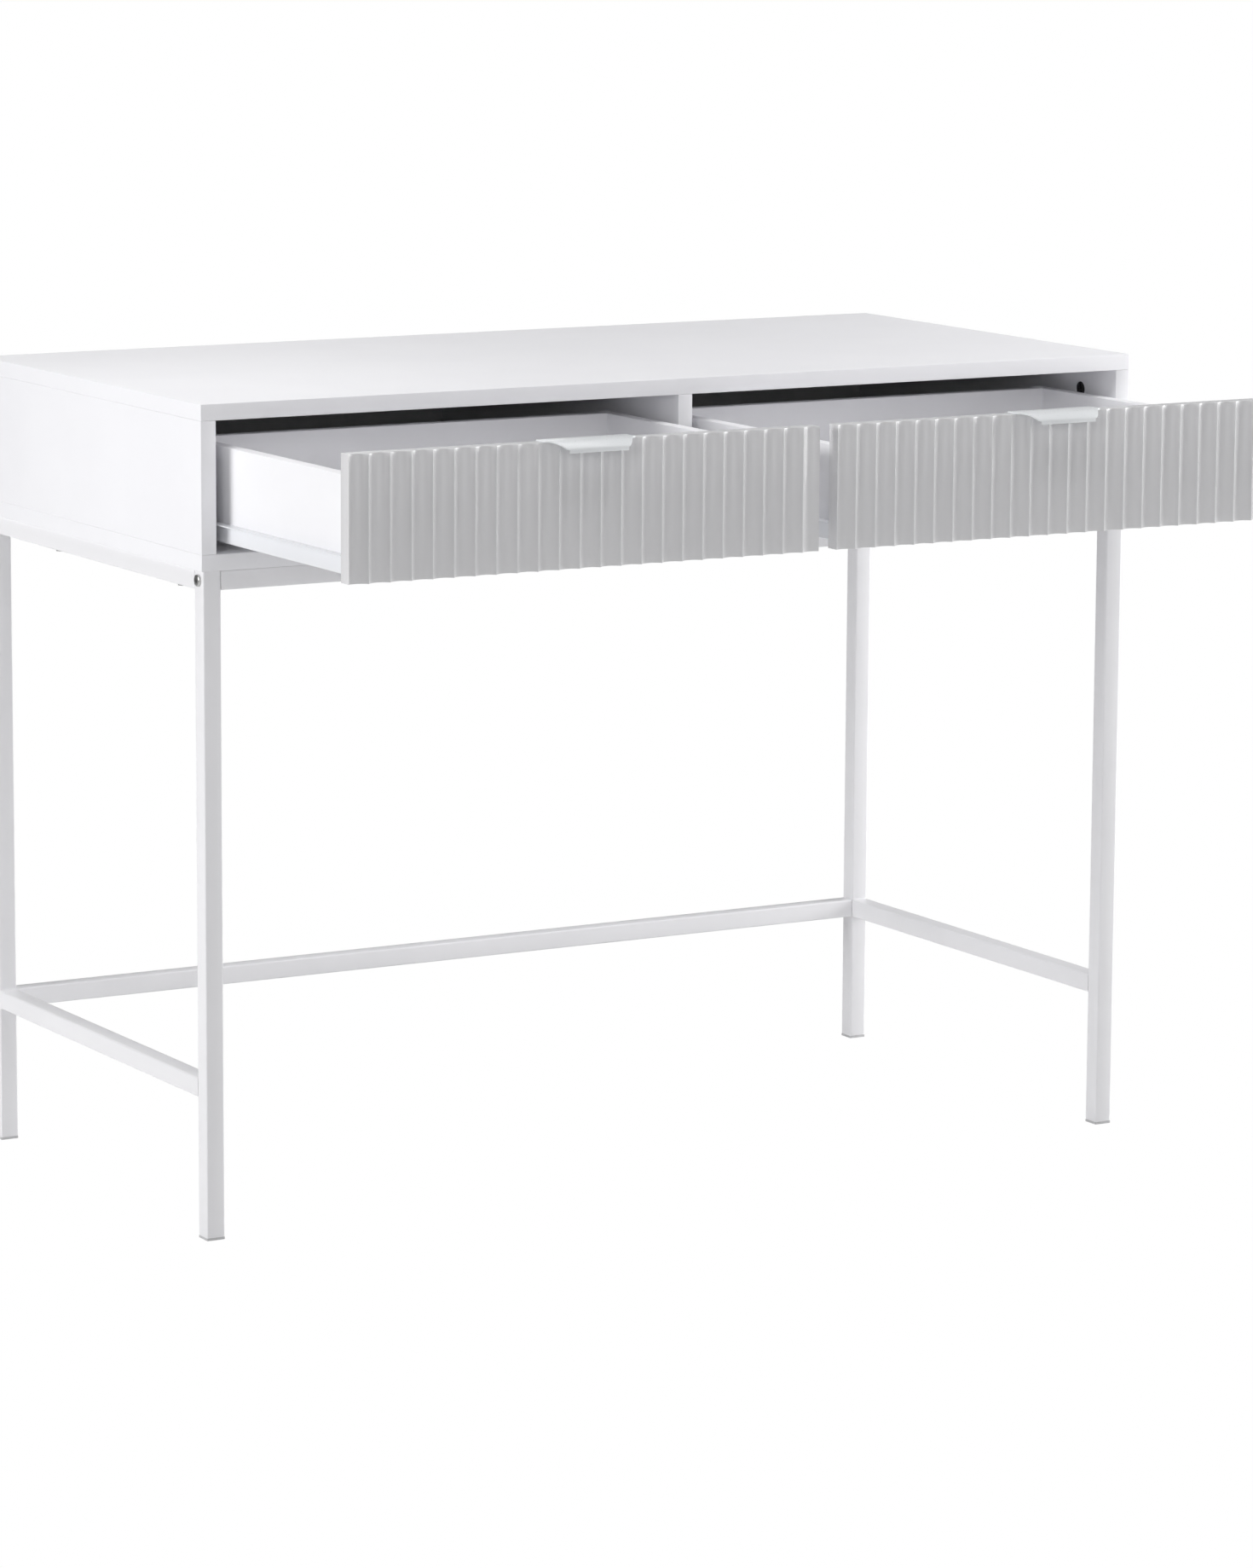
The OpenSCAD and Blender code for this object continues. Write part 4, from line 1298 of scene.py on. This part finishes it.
@dataclass
class Studio:
    """White floor, soft lights all round and the camera."""

    floor_size: float = 400.0
    floor_tone: float = 0.78
    aim_height: float = 0.6
    sky_strength: float = 0.05
    camera_place: tuple[float, float, float] = (-2.80485, -4.85324, 1.33889)
    camera_yaw: float = -30.02
    camera_pitch: float = 9.8426
    camera_roll: float = 0.3275
    camera_lens: float = 136.7

    def build(self) -> None:
        """Makes the floor, the lights and the camera."""
        self.floor()
        for lamp in LAMPS:
            self.light(lamp)
        self.sky()
        self.camera()
        bpy.context.scene.view_settings.view_transform = "Standard"

    def floor(self) -> None:
        """A wide floor that looks plain white and still bounces light as paper does."""
        Shop.clear()
        bpy.ops.mesh.primitive_plane_add(size=self.floor_size, location=(0, 0, -0.2 * MM))
        floor = bpy.context.object
        floor.name = "studio_floor"
        material = bpy.data.materials.new("floor_paper")
        material.use_nodes = True
        tree = material.node_tree
        shader = tree.nodes["Principled BSDF"]
        shader.inputs["Base Color"].default_value = (self.floor_tone, self.floor_tone, self.floor_tone, 1)
        shader.inputs["Roughness"].default_value = 1.0
        shader.inputs["Specular IOR Level"].default_value = 0.0
        white = tree.nodes.new("ShaderNodeEmission")
        rays = tree.nodes.new("ShaderNodeLightPath")
        mix = tree.nodes.new("ShaderNodeMixShader")
        tree.links.new(rays.outputs["Is Camera Ray"], mix.inputs["Fac"])
        tree.links.new(shader.outputs["BSDF"], mix.inputs[1])
        tree.links.new(white.outputs["Emission"], mix.inputs[2])
        tree.links.new(mix.outputs["Shader"], tree.nodes["Material Output"].inputs["Surface"])
        floor.data.materials.append(material)

    def aim(self, thing: bpy.types.Object, way: Vector) -> None:
        """Points a light or camera along a direction."""
        thing.rotation_mode = "QUATERNION"
        thing.rotation_quaternion = way.to_track_quat("-Z", "Y")

    def light(self, lamp: Lamp) -> None:
        """One soft light, aimed at the middle of the desk."""
        data = bpy.data.lights.new(lamp.name, "AREA")
        data.shape = "SQUARE"
        data.size = lamp.width
        data.energy = lamp.power
        light = bpy.data.objects.new(lamp.name, data)
        bpy.context.scene.collection.objects.link(light)
        light.location = lamp.place
        self.aim(light, Vector((0, 0, self.aim_height)) - Vector(lamp.place))

    def sky(self) -> None:
        """An even pale surround."""
        world = bpy.data.worlds.new("surround")
        world.use_nodes = True
        background = world.node_tree.nodes["Background"]
        background.inputs["Color"].default_value = (1.0, 1.0, 1.0, 1)
        background.inputs["Strength"].default_value = self.sky_strength
        bpy.context.scene.world = world

    def camera(self) -> None:
        """The camera, to the left of the desk and above it."""
        data = bpy.data.cameras.new("camera")
        data.lens = self.camera_lens
        data.sensor_width = 36
        data.clip_end = 1000
        camera = bpy.data.objects.new("camera", data)
        bpy.context.scene.collection.objects.link(camera)
        camera.location = self.camera_place
        yaw, pitch = math.radians(self.camera_yaw), math.radians(self.camera_pitch)
        way = Vector((-math.sin(yaw) * math.cos(pitch), math.cos(yaw) * math.cos(pitch), -math.sin(pitch)))
        self.aim(camera, way)
        roll = Quaternion((0, 0, 1), math.radians(self.camera_roll))
        camera.rotation_quaternion = camera.rotation_quaternion @ roll
        bpy.context.scene.camera = camera


def main() -> None:
    """Builds the desk and the studio round it."""
    logging.basicConfig(level=logging.INFO, format="%(name)s: %(message)s")
    paint = PaintShop()
    paint.coat_nodes()
    Carcass(paint).build()
    TubeFrame(paint).build()
    RollerRunners(paint).build()
    for side in Side:
        Drawer(paint, side).build()
    Studio().build()
    Shop.clear()


if __name__ == "__main__":
    main()
